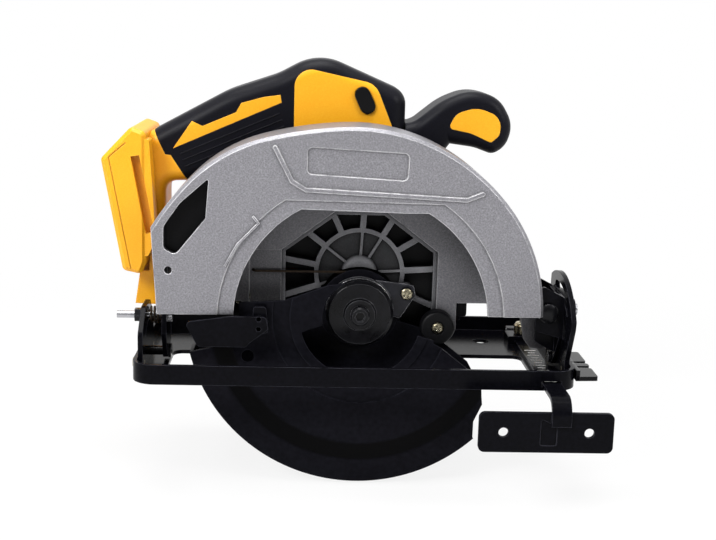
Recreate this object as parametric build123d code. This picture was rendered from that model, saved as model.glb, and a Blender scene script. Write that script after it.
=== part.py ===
"""Cordless circular saw of the 165 mm class, shown without blade and battery pack.

One solid per physical piece, in millimetres. Frame: +X is the cutting direction, +Y points away
from the blade towards the motor, +Z is up. The sole of the shoe lies in z = 0, the blade plane is
y = 0 and the arbor stands over x = 0, at full cutting depth and square to the work.
"""
from build123d import *
import os
from math import acos, atan2, cos, degrees, hypot, pi, radians, sin, sqrt, tan

# Overall sizes
BLADE_R = 82.5
ARBOR_Z = 30.0
GUARD_GAP = 7.5
GUARD_R = BLADE_R + GUARD_GAP
FIT = 0.03
SLIP = 0.3

# Shoe
SHOE_REAR = -114.0
SHOE_FRONT = 109.0
SHOE_NEAR = -38.0
SHOE_FAR = 80.0
SHEET = 2.0
RIM_H = 10.0
SHOE_CORNER = 12.0
SLOT_REAR = -98.5
SLOT_FRONT = 89.5
SLOT_NEAR = -34.5
SLOT_FAR = 21.5
SLOT_CORNER = 5.0
GUIDE_HOLE = (72.0, 52.0)
GUIDE_HOLE_R = 4.5

# Bevel hinge, along X just above the shoe floor
BEVEL_Y = 2.0
BEVEL_Z = 7.0
BEVEL_PIN_R = 2.5
BEVEL_TRAVEL = 45.0
QUADRANT_R = 46.0
QUADRANT_T = 2.5
BEVEL_SLOT_R = 26.0
BEVEL_STUD_R = 3.0
REAR_SLOT_R = 19.0
REAR_STUD_R = 1.9

# Depth hinge, along Y at the front
DEPTH_X = SHOE_FRONT - 13.0
DEPTH_Z = 35.0
DEPTH_BOLT_R = 3.5
DEPTH_TRAVEL = 28.0
DEPTH_GUIDE_W = 14.0
CASE_REACH = 46.7
DEPTH_GUIDE_R = DEPTH_X + CASE_REACH + DEPTH_GUIDE_W / 2 + 8.3
DEPTH_STUD_R = 3.0
STUD_BASE_R = 4.5

# Stations across the saw, from the near wall of the blade guard to the motor
NEAR_WALL_Y = -22.0
WALL = 2.8
FAR_WALL_Y = 10.0
FAR_WALL = 3.0
CASE_Y = FAR_WALL_Y + FAR_WALL
RIB_DEPTH = 6.0
CASE_WALL = 2.5
LOCK_T = 2.0
GEAR_W = 7.0
BARREL_Y = 33.0
BARREL_WALL = 8.0
BARREL_END = 104.0
CAP_END = 118.0

# Lower guard
SKIN = 1.8
GUARD_HALF = 8.8
DISH_Y = 14.8
DISH_IN = 67.0
DISH_OUT = 77.5
GUARD_MOUTH = 31.0
GUARD_TRAVEL = 120.0
BOSS_R = 17.5
BOSS_Y = 5.0
HUB_WALL = 3.5
LEVER_Y = -23.4
LEVER_T = 2.2

# Gear train: module one, twenty-seven to nine teeth
MODULE = 1.0
GEAR_TEETH = 27
PINION_TEETH = 9
PRESSURE = 25.0
BACKLASH = 0.16
MOTOR_Z = ARBOR_Z + MODULE * (GEAR_TEETH + PINION_TEETH) / 2
SPINDLE_R = 6.0
ARBOR_R = 5.0
TAIL_R = 4.0
FLANGE_R = 17.5
FLANGE_FACE = -8.4
BOLT_HEAD = 4.2
BEARING_R = 14.0
BEARING_W = 8.0

# Motor
BARREL_R = 33.0
BARREL_SKIN = 2.7
CORE_R = 20.6
AIR_GAP = 0.5
STACK = 36.0
SHAFT_R = 4.0
ROTOR_BEARING_R = 9.5
ROTOR_BEARING_W = 6.0

# Handle
HANDLE_Y = 42.0
GRIP_HALF = 18.0
GRIP_ROUND = 8.0
GAP_ROUND = 6.0
RUBBER = 2.2
FOOT_HALF = 32.0
FOOT_X = -112.0
TRIGGER_HALF = 7.0
TRIGGER_PIN = (-33.0, 119.0)
TRIGGER_TRAVEL = 9.0
LOCK_OFF = (1.0, 138.2)
LOCK_OFF_TRAVEL = 4.0

# Rip fence
BAR_W = 9.6
BAR_X = 95.6
BAR_T = 2.0
FENCE_Y = -65.0
FENCE_X0 = 56.0
FENCE_LEN = 65.5
FENCE_H = 20.0
FENCE_TOP = -3.0
FENCE_LAP = 6.5
FENCE_HOLE_PITCH = 41.7
FENCE_HOLE_X = 68.0
FENCE_HOLE_R = 2.4
CLAMP_Y = 52.0

SAVED = []


def save(name, shape, colour):
    """Write one node and remember its name."""
    solid_shape = shape if isinstance(shape, (Part, Compound, Solid)) else Compound(list(shape))
    solid_shape.label = name
    solid_shape.color = Color(*colour)
    export_step(solid_shape, f"parts/{name}.step")
    SAVED.append(name)


def face(*points):
    """Flat outline with straight edges."""
    return make_face(Polyline(*points, close=True))


def soft_face(radius, *points):
    """Flat outline with every corner rounded."""
    return make_face(FilletPolyline(*points, radius=radius, close=True))


def band(width, *points):
    """Flat band of one width along a chain of points."""
    shape = None
    for (u0, v0), (u1, v1) in zip(points, points[1:]):
        turn = degrees(atan2(v1 - v0, u1 - u0))
        slot = SlotCenterToCenter(hypot(u1 - u0, v1 - v0), width)
        strip = Pos((u0 + u1) / 2, (v0 + v1) / 2) * Rot(0, 0, turn) * slot
        shape = strip if shape is None else shape + strip
    return shape


def disc(u, v, r):
    """Round outline at a place in its plane."""
    return Pos(u, v) * Circle(r)


def slab(outline, y0, y1):
    """Solid of an outline in X and Z, between two stations in Y."""
    return extrude(Plane.XZ.offset(-y0) * outline, amount=y1 - y0, dir=(0, 1, 0))


def leaf(outline, x0, x1):
    """Solid of an outline in Y and Z, between two stations in X."""
    return extrude(Plane.YZ.offset(x0) * outline, amount=x1 - x0, dir=(1, 0, 0))


def plate(outline, z0, z1):
    """Solid of an outline in X and Y, between two heights."""
    return extrude(Plane.XY.offset(z0) * outline, amount=z1 - z0, dir=(0, 0, 1))


def rod(x, z, r, y0, y1):
    """Round bar along Y."""
    return slab(disc(x, z, r), y0, y1)


def rod_x(y, z, r, x0, x1):
    """Round bar along X."""
    return leaf(disc(y, z, r), x0, x1)


def rod_z(x, y, r, z0, z1):
    """Round bar along Z."""
    return plate(disc(x, y, r), z0, z1)


def block(x0, x1, y0, y1, z0, z1):
    """Rectangular block between two corners."""
    size = Box(x1 - x0, y1 - y0, z1 - z0)
    return Pos((x0 + x1) / 2, (y0 + y1) / 2, (z0 + z1) / 2) * size


def arbor_plane(angle):
    """Plane through the arbor: local x runs outwards at the angle, local y along the arbor."""
    c, s = cos(radians(angle)), sin(radians(angle))
    return Plane(origin=(0, 0, ARBOR_Z), x_dir=(c, 0, s), z_dir=(-s, 0, c))


def turned(profile, start, arc):
    """Turn a profile of (radius, y) about the arbor, anticlockwise seen from the blade side."""
    axis = Axis((0, 0, ARBOR_Z), (0, -1, 0))
    return revolve(arbor_plane(start) * profile, axis, revolution_arc=arc)


def on_arbor(radius, angle):
    """Point in X and Z at a polar place about the arbor."""
    return (radius * cos(radians(angle)), ARBOR_Z + radius * sin(radians(angle)))


def biarc(p0, t0, p1, t1):
    """Two arcs that join two points and keep both directions."""
    v = p1 - p0
    t = t0 + t1
    k = 2 * (1 - t0.dot(t1))
    d = (-v.dot(t) + sqrt(v.dot(t) ** 2 + k * v.dot(v))) / k
    a = p0 + t0 * d
    b = p1 - t1 * d
    mid = (a + b) * 0.5
    return [TangentArc(p0, mid, tangent=t0), TangentArc(mid, p1, tangent=(b - a).normalized())]


def coil_edges(point, turns):
    """Quarter-turn biarcs along a winding, given as a function of the turns run so far."""
    small = 1e-4
    count = round(turns * 4)
    places = [turns * k / count for k in range(count + 1)]
    points = [point(u) for u in places]
    ways = [(point(u + small) - point(u - small)).normalized() for u in places]
    edges = []
    for k in range(count):
        edges += biarc(points[k], ways[k], points[k + 1], ways[k + 1])
    return edges, points[0], ways[0], points[-1], ways[-1]


def wire_tube(edges, start, way, r):
    """Round wire swept along a chain of edges."""
    return sweep(Plane(origin=start, z_dir=way) * Circle(r), path=Wire(edges))


def least_gap(point, turns, r):
    """Least clear distance between neighbouring turns of a winding."""
    steps = 48
    pts = [point(turns * k / (steps * 4)) for k in range(steps * 4 + 1)]
    half = steps * 2 / turns
    apart = [(pts[i] - pts[j]).length for i in range(len(pts)) for j in range(i) if i - j > half]
    return min(apart) - 2 * r


def gear_outline(teeth, shift, turn):
    """Involute gear outline about the origin: addendum 0.9, dedendum 1.2, straight roots."""
    pitch_r = MODULE * teeth / 2
    base_r = pitch_r * cos(radians(PRESSURE))
    tip_r = pitch_r + MODULE * (0.9 + shift)
    root_r = pitch_r - MODULE * (1.2 - shift)

    def involute(r):
        a = acos(min(1.0, base_r / r))
        return tan(a) - a

    thick = pi * MODULE / 2 + 2 * shift * MODULE * tan(radians(PRESSURE)) - BACKLASH
    half = thick / (2 * pitch_r) + involute(pitch_r)
    low = max(base_r, root_r)
    flank = [low + (tip_r - low) * k / 3 for k in range(4)]
    points = []
    for n in range(teeth):
        mid = radians(turn) + 2 * pi * n / teeth
        rise = [(r, mid - half + involute(r)) for r in flank]
        fall = [(r, mid + half - involute(r)) for r in reversed(flank)]
        if root_r < low:
            rise = [(root_r, mid - half)] + rise
            fall = fall + [(root_r, mid + half)]
        points += [(r * cos(a), r * sin(a)) for r, a in rise + fall]
    return face(*points)


# Colours of the plain model
STEEL = (0.10, 0.10, 0.11)
ZINC = (0.75, 0.72, 0.60)
CAST = (0.62, 0.61, 0.63)
YELLOW = (0.95, 0.66, 0.10)
RUBBER_BLACK = (0.13, 0.13, 0.15)
PLASTIC = (0.17, 0.17, 0.18)
BRIGHT = (0.72, 0.72, 0.74)
COPPER = (0.72, 0.42, 0.20)
BRASS = (0.78, 0.62, 0.28)


def base_plate():
    """Pressed steel shoe: a tray with a turned-up rim, the guard slot and the fence notches."""
    length, width = SHOE_FRONT - SHOE_REAR, SHOE_FAR - SHOE_NEAR
    mid = Pos((SHOE_FRONT + SHOE_REAR) / 2, (SHOE_FAR + SHOE_NEAR) / 2)
    tray = plate(mid * RectangleRounded(length, width, SHOE_CORNER), 0, RIM_H)
    inside = mid * RectangleRounded(length - 2 * SHEET, width - 2 * SHEET, SHOE_CORNER - SHEET)
    tray -= plate(inside, SHEET, RIM_H)
    corners = ((SLOT_REAR, SLOT_NEAR), (SLOT_FRONT, SLOT_NEAR),
               (SLOT_FRONT, SLOT_FAR), (SLOT_REAR, SLOT_FAR))
    tray -= plate(soft_face(SLOT_CORNER, *corners), 0, SHEET)
    half = BAR_W / 2 + SLIP
    notch_top = SHEET + BAR_T + 3 * SLIP
    tray -= block(BAR_X - half, BAR_X + half, SHOE_NEAR, SHOE_NEAR + SHEET + 3, SHEET, notch_top)
    tray -= block(BAR_X - half, BAR_X + half, SHOE_FAR - SHEET - 3, SHOE_FAR, SHEET, notch_top)
    tray -= rod_z(*GUIDE_HOLE, GUIDE_HOLE_R, 0, SHEET)
    bead_y = (SLOT_FAR + SHOE_FAR) / 2
    for y in (bead_y - 10, bead_y + 14):
        tray += plate(Pos(-12, y) * SlotOverall(110, 7), SHEET, SHEET + 1.2)
    for y in RIVET_Y:
        tray -= rod_x(y, RIVET_Z, RIVET_R, SHOE_FRONT - SHEET, SHOE_FRONT)
        tray -= rod_x(y, RIVET_Z, RIVET_R, SHOE_REAR, SHOE_REAR + SHEET)
    return tray


RIVET_Y = (-16.5, 20.0)
RIVET_Z = 5.5
RIVET_R = 1.8
FRONT_PLATE_X = SHOE_FRONT - SHEET - QUADRANT_T
REAR_PLATE_X = SHOE_REAR + SHEET
REAR_ARM_X = -102.0
REAR_ARM_T = 2.5


def bevel_arc(radius, extra):
    """Middle line of a bevel slot: straight up at zero bevel, towards the blade side after that."""
    return CenterArc((BEVEL_Y, BEVEL_Z), radius, 90 - extra, BEVEL_TRAVEL + 2 * extra)


def bevel_quadrant():
    """Front quadrant plate on the shoe with the bevel slot."""
    wedge = face((-24, SHEET), (26, SHEET), (26, 13), (21, 60), (-40, 60), (-34, 30), (-24, 12))
    outline = disc(BEVEL_Y, BEVEL_Z, QUADRANT_R) & wedge
    outline -= SlotArc(bevel_arc(BEVEL_SLOT_R, 2), 2 * BEVEL_STUD_R + 0.6)
    outline -= SlotArc(CenterArc((BEVEL_Y, BEVEL_Z), QUADRANT_R - 7, 80, 50), 4)
    outline -= disc(BEVEL_Y, BEVEL_Z, BEVEL_PIN_R + FIT)
    body = leaf(outline, FRONT_PLATE_X, FRONT_PLATE_X + QUADRANT_T)
    for y in RIVET_Y:
        body -= rod_x(y, RIVET_Z, RIVET_R, FRONT_PLATE_X, FRONT_PLATE_X + QUADRANT_T)
    return body


def rear_bracket():
    """Rear bevel plate on the shoe with its slot."""
    outline = soft_face(4, (-24, SHEET), (24, SHEET), (18, 24), (8, 33), (-10, 33), (-24, 22))
    outline -= SlotArc(bevel_arc(REAR_SLOT_R, 2), 2 * REAR_STUD_R + 0.6)
    outline -= disc(BEVEL_Y, BEVEL_Z, BEVEL_PIN_R + FIT)
    body = leaf(outline, REAR_PLATE_X, REAR_PLATE_X + QUADRANT_T)
    for y in RIVET_Y:
        body -= rod_x(y, RIVET_Z, RIVET_R, REAR_PLATE_X, REAR_PLATE_X + QUADRANT_T)
    return body


def shoe_rivets():
    """Four domed rivets that hold the front and rear plates to the rim."""
    rivets = []
    for y in RIVET_Y:
        for outer, inner in ((SHOE_FRONT, FRONT_PLATE_X), (SHOE_REAR, REAR_PLATE_X + QUADRANT_T)):
            way = 1 if outer > 0 else -1
            shank = rod_x(y, RIVET_Z, RIVET_R - FIT, min(outer, inner), max(outer, inner))
            tip = outer + way * 1.4
            head = rod_x(y, RIVET_Z, RIVET_R + 1.2, min(outer, tip), max(outer, tip))
            rims = head.edges().filter_by(GeomType.CIRCLE).sort_by(Axis.X)
            head = chamfer(rims[-1 if way > 0 else 0], 0.7)
            rivets.append(Solid(shank.solid().fuse(head.solid()).wrapped))
    return rivets


SIGHT_TABS = ((-32, -14), (-12, -5), (-3, 18))
SIGHT_REACH = 11.5


def sight_guide():
    """Line-of-cut sight on the front rim: a lip with three broad fingers and the slits between them."""
    root = block(SHOE_FRONT, SHOE_FRONT + 2, SIGHT_TABS[0][0], SIGHT_TABS[-1][1], 3.5, 9.0)
    for y0, y1 in SIGHT_TABS:
        x0, x1 = SHOE_FRONT + 0.5, SHOE_FRONT + SIGHT_REACH
        root += plate(soft_face(1.5, (x0, y0), (x1, y0 + 0.8), (x1, y1 - 0.8), (x0, y1)), 3.5, 5.7)
    for y in RIVET_Y:
        root -= rod_x(y, RIVET_Z, 3.4, SHOE_FRONT, SHOE_FRONT + 2.6)
    return root


def fence_guide():
    """Saddle over the fence bar that carries the clamp screw."""
    half = BAR_W / 2 + SLIP
    top = SHEET + BAR_T + SLIP
    body = block(BAR_X - half - 4, BAR_X + half + 2, CLAMP_Y - 7, CLAMP_Y + 7, SHEET, top + 2.5)
    body -= block(BAR_X - half, BAR_X + half, CLAMP_Y - 7, CLAMP_Y + 7, SHEET, top)
    body = fillet(body.edges().filter_by(Axis.Y).group_by(Axis.Z)[-1], 1.2)
    return body - rod_z(BAR_X, CLAMP_Y, CLAMP_SCREW_R + FIT, top, top + 2.5)


CLAMP_SCREW_R = 2.5


def fence_clamp_screw():
    """Thumb screw with a scalloped head that clamps the fence bar."""
    tip = SHEET + BAR_T + 0.05
    seat = SHEET + BAR_T + SLIP + 2.5
    stem = rod_z(BAR_X, CLAMP_Y, CLAMP_SCREW_R, tip, seat + 3)
    head = rod_z(BAR_X, CLAMP_Y, 4.8, seat + 0.5, seat + 6)
    head = chamfer(head.edges().filter_by(GeomType.CIRCLE).sort_by(Axis.Z)[-1], 1)
    for k in range(8):
        a = 2 * pi * k / 8
        head -= rod_z(BAR_X + 5.5 * cos(a), CLAMP_Y + 5.5 * sin(a), 1.3, seat + 0.5, seat + 6)
    return stem + head


def rip_fence():
    """Rip fence: flat bar across the shoe, bent down outside it, with a two-hole face plate."""
    low, high = SHEET, SHEET + BAR_T
    bend = 9.0
    front = FENCE_Y - BAR_T
    x0, x1 = BAR_X - BAR_W / 2, BAR_X + BAR_W / 2
    path = Line((92, high), (front + bend, high))
    path += RadiusArc((front + bend, high), (front, high - bend), -bend)
    path += Line((front, high - bend), (front, FENCE_TOP - FENCE_LAP))
    path += Line((front, FENCE_TOP - FENCE_LAP), (FENCE_Y, FENCE_TOP - FENCE_LAP))
    path += Line((FENCE_Y, FENCE_TOP - FENCE_LAP), (FENCE_Y, high - bend))
    path += RadiusArc((FENCE_Y, high - bend), (FENCE_Y + bend - BAR_T, low), bend - BAR_T)
    path += Line((FENCE_Y + bend - BAR_T, low), (92, low)) + Line((92, low), (92, high))
    bar = leaf(make_face(path), x0, x1)
    x_end = FENCE_X0 + FENCE_LEN
    low_z = FENCE_TOP - FENCE_H
    board = soft_face(3, (FENCE_X0, FENCE_TOP), (x_end, FENCE_TOP), (x_end, low_z), (FENCE_X0, low_z))
    for k in range(2):
        board -= disc(FENCE_HOLE_X + k * FENCE_HOLE_PITCH, FENCE_TOP - FENCE_H / 2, FENCE_HOLE_R)
    fence = bar + slab(board, FENCE_Y, FENCE_Y + BAR_T)
    dent = soft_face(1, (86, low_z + 3.5), (94, low_z + 3.5),
                     (94, FENCE_TOP - FENCE_LAP - 0.4), (86, FENCE_TOP - 3))
    return fence - slab(dent, FENCE_Y, FENCE_Y + 0.6)


def front_tilt_bracket():
    """Front hanger: a bent channel that tilts on the quadrant and carries the depth hinge."""
    x1 = FRONT_PLATE_X - 0.2
    x0 = x1 - 2.3
    side = 17.0
    sheet = 2.0
    web = soft_face(1.4, (-side, 21.5), (-side, 43), (side, 43), (side, 11),
                    (6.5, 3.2), (-1.2, 4.2), (-7, 9))
    web -= disc(BEVEL_Y, BEVEL_Z, BEVEL_PIN_R + FIT)
    web -= disc(BEVEL_Y, BEVEL_Z + BEVEL_SLOT_R, BEVEL_STUD_R + FIT)
    body = leaf(web, x0, x1)
    back = DEPTH_X - 6.5
    near = soft_face(2, (x1, 21.5), (x1, 43), (back + 4, 48.5), (back, 47), (back, 25.5))
    far = soft_face(2, (x1, 11), (x1, 43), (back + 4, 48.5), (back, 47), (back, 20))
    for outline, y in ((near, -side), (far, side - sheet)):
        body += slab(outline - disc(DEPTH_X, DEPTH_Z, DEPTH_BOLT_R + FIT), y, y + sheet)
    gusset = soft_face(1.5, (x1, 10.6), (x1, 27), (back + 2.2, 27), (back + 2.2, 17.4))
    return body + slab(gusset, -6.5, -4.5)


def bevel_pins():
    """The two hinge pins of the bevel, front and rear."""
    front = rod_x(BEVEL_Y, BEVEL_Z, BEVEL_PIN_R, FRONT_PLATE_X - 3.8, SHOE_FRONT - SHEET)
    front += rod_x(BEVEL_Y, BEVEL_Z, BEVEL_PIN_R + 0.4, FRONT_PLATE_X - 3.8, FRONT_PLATE_X - 2.6)
    rear = rod_x(BEVEL_Y, BEVEL_Z, BEVEL_PIN_R, REAR_PLATE_X, REAR_ARM_X + REAR_ARM_T + 1.6)
    face_x = REAR_ARM_X + REAR_ARM_T
    rear += rod_x(BEVEL_Y, BEVEL_Z, BEVEL_PIN_R + 1.2, face_x + 0.1, face_x + 1.7)
    return [front.solid(), rear.solid()]


LOCK_NUT_X = SHOE_FRONT - SHEET + 0.2


def bevel_stud():
    """Threaded stud of the bevel clamp, fixed in the front hanger."""
    z = BEVEL_Z + BEVEL_SLOT_R
    return rod_x(BEVEL_Y, z, BEVEL_STUD_R, FRONT_PLATE_X - 2.5, LOCK_NUT_X + 7.5)


def bevel_lever():
    """Clamp lever with a nut boss, pointing away from the blade side."""
    z = BEVEL_Z + BEVEL_SLOT_R
    hub = rod_x(BEVEL_Y, z, 5.5, LOCK_NUT_X, LOCK_NUT_X + 6)
    arm = face((BEVEL_Y, z - 4.5), (BEVEL_Y + 34, z - 2), (BEVEL_Y + 36, z),
               (BEVEL_Y + 34, z + 3), (BEVEL_Y, z + 4.5))
    lever = hub + leaf(arm, LOCK_NUT_X + 2, LOCK_NUT_X + 5)
    return lever - rod_x(BEVEL_Y, z, BEVEL_STUD_R + FIT, LOCK_NUT_X, LOCK_NUT_X + 6)


def rear_stud():
    """Rear clamp bolt: it rides in the slot of the rear plate, with head, spring seat and thread."""
    z = BEVEL_Z + REAR_SLOT_R
    head_x = REAR_ARM_X + REAR_ARM_T
    bolt = rod_x(BEVEL_Y, z, REAR_STUD_R, -126, head_x)
    return bolt + rod_x(BEVEL_Y, z, 3.4, head_x, head_x + 2.2)


def rear_nut():
    """Lock nut on the outer end of the rear clamp bolt."""
    z = BEVEL_Z + REAR_SLOT_R
    nut = leaf(Pos(BEVEL_Y, z) * RegularPolygon(3.7, 6), REAR_PLATE_X - 4.8, REAR_PLATE_X - 0.1)
    return nut - rod_x(BEVEL_Y, z, REAR_STUD_R + FIT, REAR_PLATE_X - 5, REAR_PLATE_X)


REAR_SPRING_R = 4.1
REAR_SPRING_WIRE = 0.6
REAR_SPRING_TURNS = 3.5


def rear_spring_point(u):
    """Middle line of the rear spring after u turns."""
    x0 = REAR_PLATE_X + QUADRANT_T + REAR_SPRING_WIRE + 0.1
    x1 = REAR_ARM_X - REAR_SPRING_WIRE - 0.1
    a = 2 * pi * u
    z = BEVEL_Z + REAR_SLOT_R
    x = x0 + (x1 - x0) * u / REAR_SPRING_TURNS
    return Vector(x, BEVEL_Y + REAR_SPRING_R * cos(a), z + REAR_SPRING_R * sin(a))


def rear_spring():
    """Short compression spring that keeps friction on the bevel."""
    edges, start, way, _, _ = coil_edges(rear_spring_point, REAR_SPRING_TURNS)
    gap = least_gap(rear_spring_point, REAR_SPRING_TURNS, REAR_SPRING_WIRE)
    print("rear spring least gap", round(gap, 2))
    return wire_tube(edges, start, way, REAR_SPRING_WIRE)


def depth_polar(radius, angle):
    """Point in X and Z on an arc about the depth hinge, from straight back upwards."""
    return (DEPTH_X - radius * cos(radians(angle)), DEPTH_Z + radius * sin(radians(angle)))


GUIDE_Y = CASE_Y + 0.4
GUIDE_T = 2.5


def depth_guide():
    """Arc bar with the depth slot; its foot bends round to the rear bevel hinge."""
    low, high = -7.0, DEPTH_TRAVEL + 3.5
    inner, outer = DEPTH_GUIDE_R - DEPTH_GUIDE_W / 2, DEPTH_GUIDE_R + DEPTH_GUIDE_W / 2
    mid = (low + high) / 2
    path = ThreePointArc(depth_polar(outer, low), depth_polar(outer, mid), depth_polar(outer, high))
    path += Line(depth_polar(outer, high), depth_polar(inner, high))
    path += ThreePointArc(depth_polar(inner, high), depth_polar(inner, mid), depth_polar(inner, low))
    path += Line(depth_polar(inner, low), depth_polar(outer, low))
    bar = make_face(path)
    slot_arc = CenterArc((DEPTH_X, DEPTH_Z), DEPTH_GUIDE_R, 180 - DEPTH_TRAVEL - 1, DEPTH_TRAVEL + 2)
    foot_x, foot_z = depth_polar(inner, low)
    foot = face((REAR_ARM_X, 13), (foot_x, 13), (foot_x - 1, 29), (REAR_ARM_X, 29))
    body = slab(bar + foot, GUIDE_Y, GUIDE_Y + GUIDE_T)
    body -= slab(SlotArc(slot_arc, 2 * DEPTH_STUD_R + 0.6), GUIDE_Y, GUIDE_Y + GUIDE_T)
    y1 = GUIDE_Y + GUIDE_T
    arm = soft_face(1.2, (-6, 31), (y1, 31), (y1, 13), (7, 2.8), (-1.2, 4.2), (-8, 18))
    arm -= disc(BEVEL_Y, BEVEL_Z, BEVEL_PIN_R + FIT)
    arm -= disc(BEVEL_Y, BEVEL_Z + REAR_SLOT_R, REAR_STUD_R + FIT)
    return body + leaf(arm, REAR_ARM_X, REAR_ARM_X + REAR_ARM_T)


GUARD_RUN = ((92.7, 33.6), (73.2, 89.5), (36.0, 118.8), (-10.0, 127.6), (-50.0, 121.3),
             (-87.5, 99.4), (-105.6, 76.0))
GUARD_REAR_LOW = (-102.7, 32.0)


def guard_outline():
    """Outer outline of the upper guard: tight at the front, opening out to the dust mouth behind."""
    run = None
    way = Vector(0, 1)
    for start, end in zip(GUARD_RUN, GUARD_RUN[1:]):
        arc = TangentArc(start, end, tangent=way)
        way = arc % 1
        run = arc if run is None else run + arc
    return make_face(run + Line(GUARD_RUN[-1], GUARD_REAR_LOW) + Line(GUARD_REAR_LOW, GUARD_RUN[0]))


HINGE_R = 5.6
ARCH_R = 64.5
ARCH_TOP = 87.5
WINDOW_HALF = 41.2
WINDOW_LOW = 60.4
WINDOW_TOP = 81.2
WINDOW_TOP_HALF = 13.4
BUMPER = (41.7, 21.1)
BUMPER_R = 8.9
DUST_WINDOW = ((-77, 101), (-78.5, 81), (-93.5, 62.3), (-99.3, 65.5), (-99.3, 76.5), (-91, 88.5))
DUST_WINDOW_R = (0.6, 1.5, 3, 3, 5, 12)
CASE_SCREWS = ((-44.6, 66), (44.6, 66), (-22, 84.6), (22, 84.6))
FACE_LEFT = 0.9


def window_outline(grow):
    """Window of the far wall, open at the bottom, grown outwards by an amount."""
    half, top = WINDOW_HALF + grow, WINDOW_TOP + grow
    return face((-half, -5), (-half, WINDOW_LOW + grow / 2), (-WINDOW_TOP_HALF - grow / 2, top),
                (WINDOW_TOP_HALF + grow / 2, top), (half, WINDOW_LOW + grow / 2), (half, -5))


def upper_guard():
    """Cast blade guard: near wall with its arch, rim, far wall with the gear window, hinge boss."""
    outline = guard_outline()
    depth_y = FAR_WALL_Y + FAR_WALL
    body = slab(outline, NEAR_WALL_Y, depth_y)
    rim_edges = body.edges().group_by(Axis.Y)[0].filter_by(GeomType.LINE, reverse=True)
    body = chamfer(rim_edges, 1.6)
    inner = offset(outline, -WALL) + face((-99.8, 20), (89.8, 20), (89.8, 40), (-99.8, 40))
    body -= slab(inner, NEAR_WALL_Y + WALL, FAR_WALL_Y)
    body -= block(82, 100, NEAR_WALL_Y + WALL, FAR_WALL_Y, 20, 55)
    arch = disc(0, ARBOR_Z, ARCH_R)
    arch &= face((-80, 20), (80, 20), (80, ARCH_TOP - 1), (20, ARCH_TOP - 2), (-80, ARCH_TOP))
    body -= slab(arch, NEAR_WALL_Y, NEAR_WALL_Y + WALL)
    border = disc(0, ARBOR_Z, ARCH_R + 8)
    border &= face((-90, 20), (90, 20), (90, ARCH_TOP + 2.5), (-90, ARCH_TOP + 4))
    body -= slab(border, NEAR_WALL_Y, NEAR_WALL_Y + 0.9)
    panel = soft_face(2.5, (-28.5, 117.5), (21.8, 115.3), (21.2, 101.8), (-28.5, 104.2))
    body -= slab(panel, NEAR_WALL_Y, NEAR_WALL_Y + 0.8)
    window = make_face(FilletPolyline(*DUST_WINDOW, radius=DUST_WINDOW_R, close=True))
    body -= slab(window, NEAR_WALL_Y, NEAR_WALL_Y + WALL)
    body -= rod(-97, 54.6, 1.9, NEAR_WALL_Y, NEAR_WALL_Y + WALL)
    ridge = band(2.0, (-44.5, 117), (-36, 100.5), (-29, 96.4), (51, 93), (59, 96.2))
    body += slab(ridge, NEAR_WALL_Y - 0.9, NEAR_WALL_Y + 0.3)
    legs = face((-62, 26), (-WINDOW_HALF, 26), (-WINDOW_HALF, 40), (-62, 40))
    lobe = disc(*BUMPER, BUMPER_R + 1.6)
    lobe += face((BUMPER[0] - 4, 21), (BUMPER[0] + 10.3, 21), (BUMPER[0] + 10.3, 45), (BUMPER[0] - 2, 45))
    lug = disc(DEPTH_X, DEPTH_Z, HINGE_R)
    lug += face((70, 36), (DEPTH_X, DEPTH_Z - HINGE_R), (DEPTH_X + 4, DEPTH_Z + 4), (82, 62))
    tongue = soft_face(1.5, (82, 50), (89, 14), (92.5, 9.5), (99.5, 9), (100.5, 30), (94, 50))
    body += slab(legs + lobe + lug + tongue, FAR_WALL_Y, depth_y)
    body += rod(DEPTH_X, DEPTH_Z, HINGE_R, -14.6, 14.6)
    body -= rod(DEPTH_X, DEPTH_Z, DEPTH_BOLT_R + FIT, -15, 15)
    body -= slab(window_outline(0), FAR_WALL_Y, depth_y)
    body -= block(-58, -WINDOW_HALF, FAR_WALL_Y, FAR_WALL_Y + 1.6, 27, 60)
    body -= rod(SPRING_END_X, ARBOR_Z + SPRING_R, SPRING_WIRE + 0.2, FAR_WALL_Y, depth_y)
    stud = depth_polar(DEPTH_GUIDE_R, 0)
    body -= rod(*stud, STUD_BASE_R + FIT, FAR_WALL_Y + FACE_LEFT, depth_y)
    for x, z in CASE_SCREWS:
        body -= rod(x, z, 1.6, FAR_WALL_Y + FACE_LEFT, depth_y)
    return body - rod(*BUMPER, 1.5, FAR_WALL_Y, depth_y)


def dust_chute():
    """Dark moulded chute behind the dust window."""
    y0 = NEAR_WALL_Y + WALL
    outer = soft_face(2, (-74.5, 103), (-76, 80), (-93, 59.5), (-100.8, 63), (-100.8, 77.6), (-92, 91))
    inner = soft_face(2, (-77, 100), (-78.5, 81), (-93.5, 62.3), (-99, 65.5), (-99, 76.5), (-91.4, 88.5))
    outer = outer & offset(guard_outline(), -WALL - 0.1)
    return slab(outer, y0, y0 + 4) - slab(inner, y0, y0 + 2.4)


SPRING_R = 18.95
SPRING_WIRE = 0.7
SPRING_Y0 = 10.3
SPRING_PITCH = 2.2
SPRING_TURNS = 2.5
SPRING_END_X = -56.0


def guard_spring_point(u):
    """Middle line of the guard's torsion spring: clockwise from the top, seen from the blade side."""
    a = pi / 2 - 2 * pi * u
    return Vector(SPRING_R * cos(a), SPRING_Y0 + SPRING_PITCH * u, ARBOR_Z + SPRING_R * sin(a))


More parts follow.
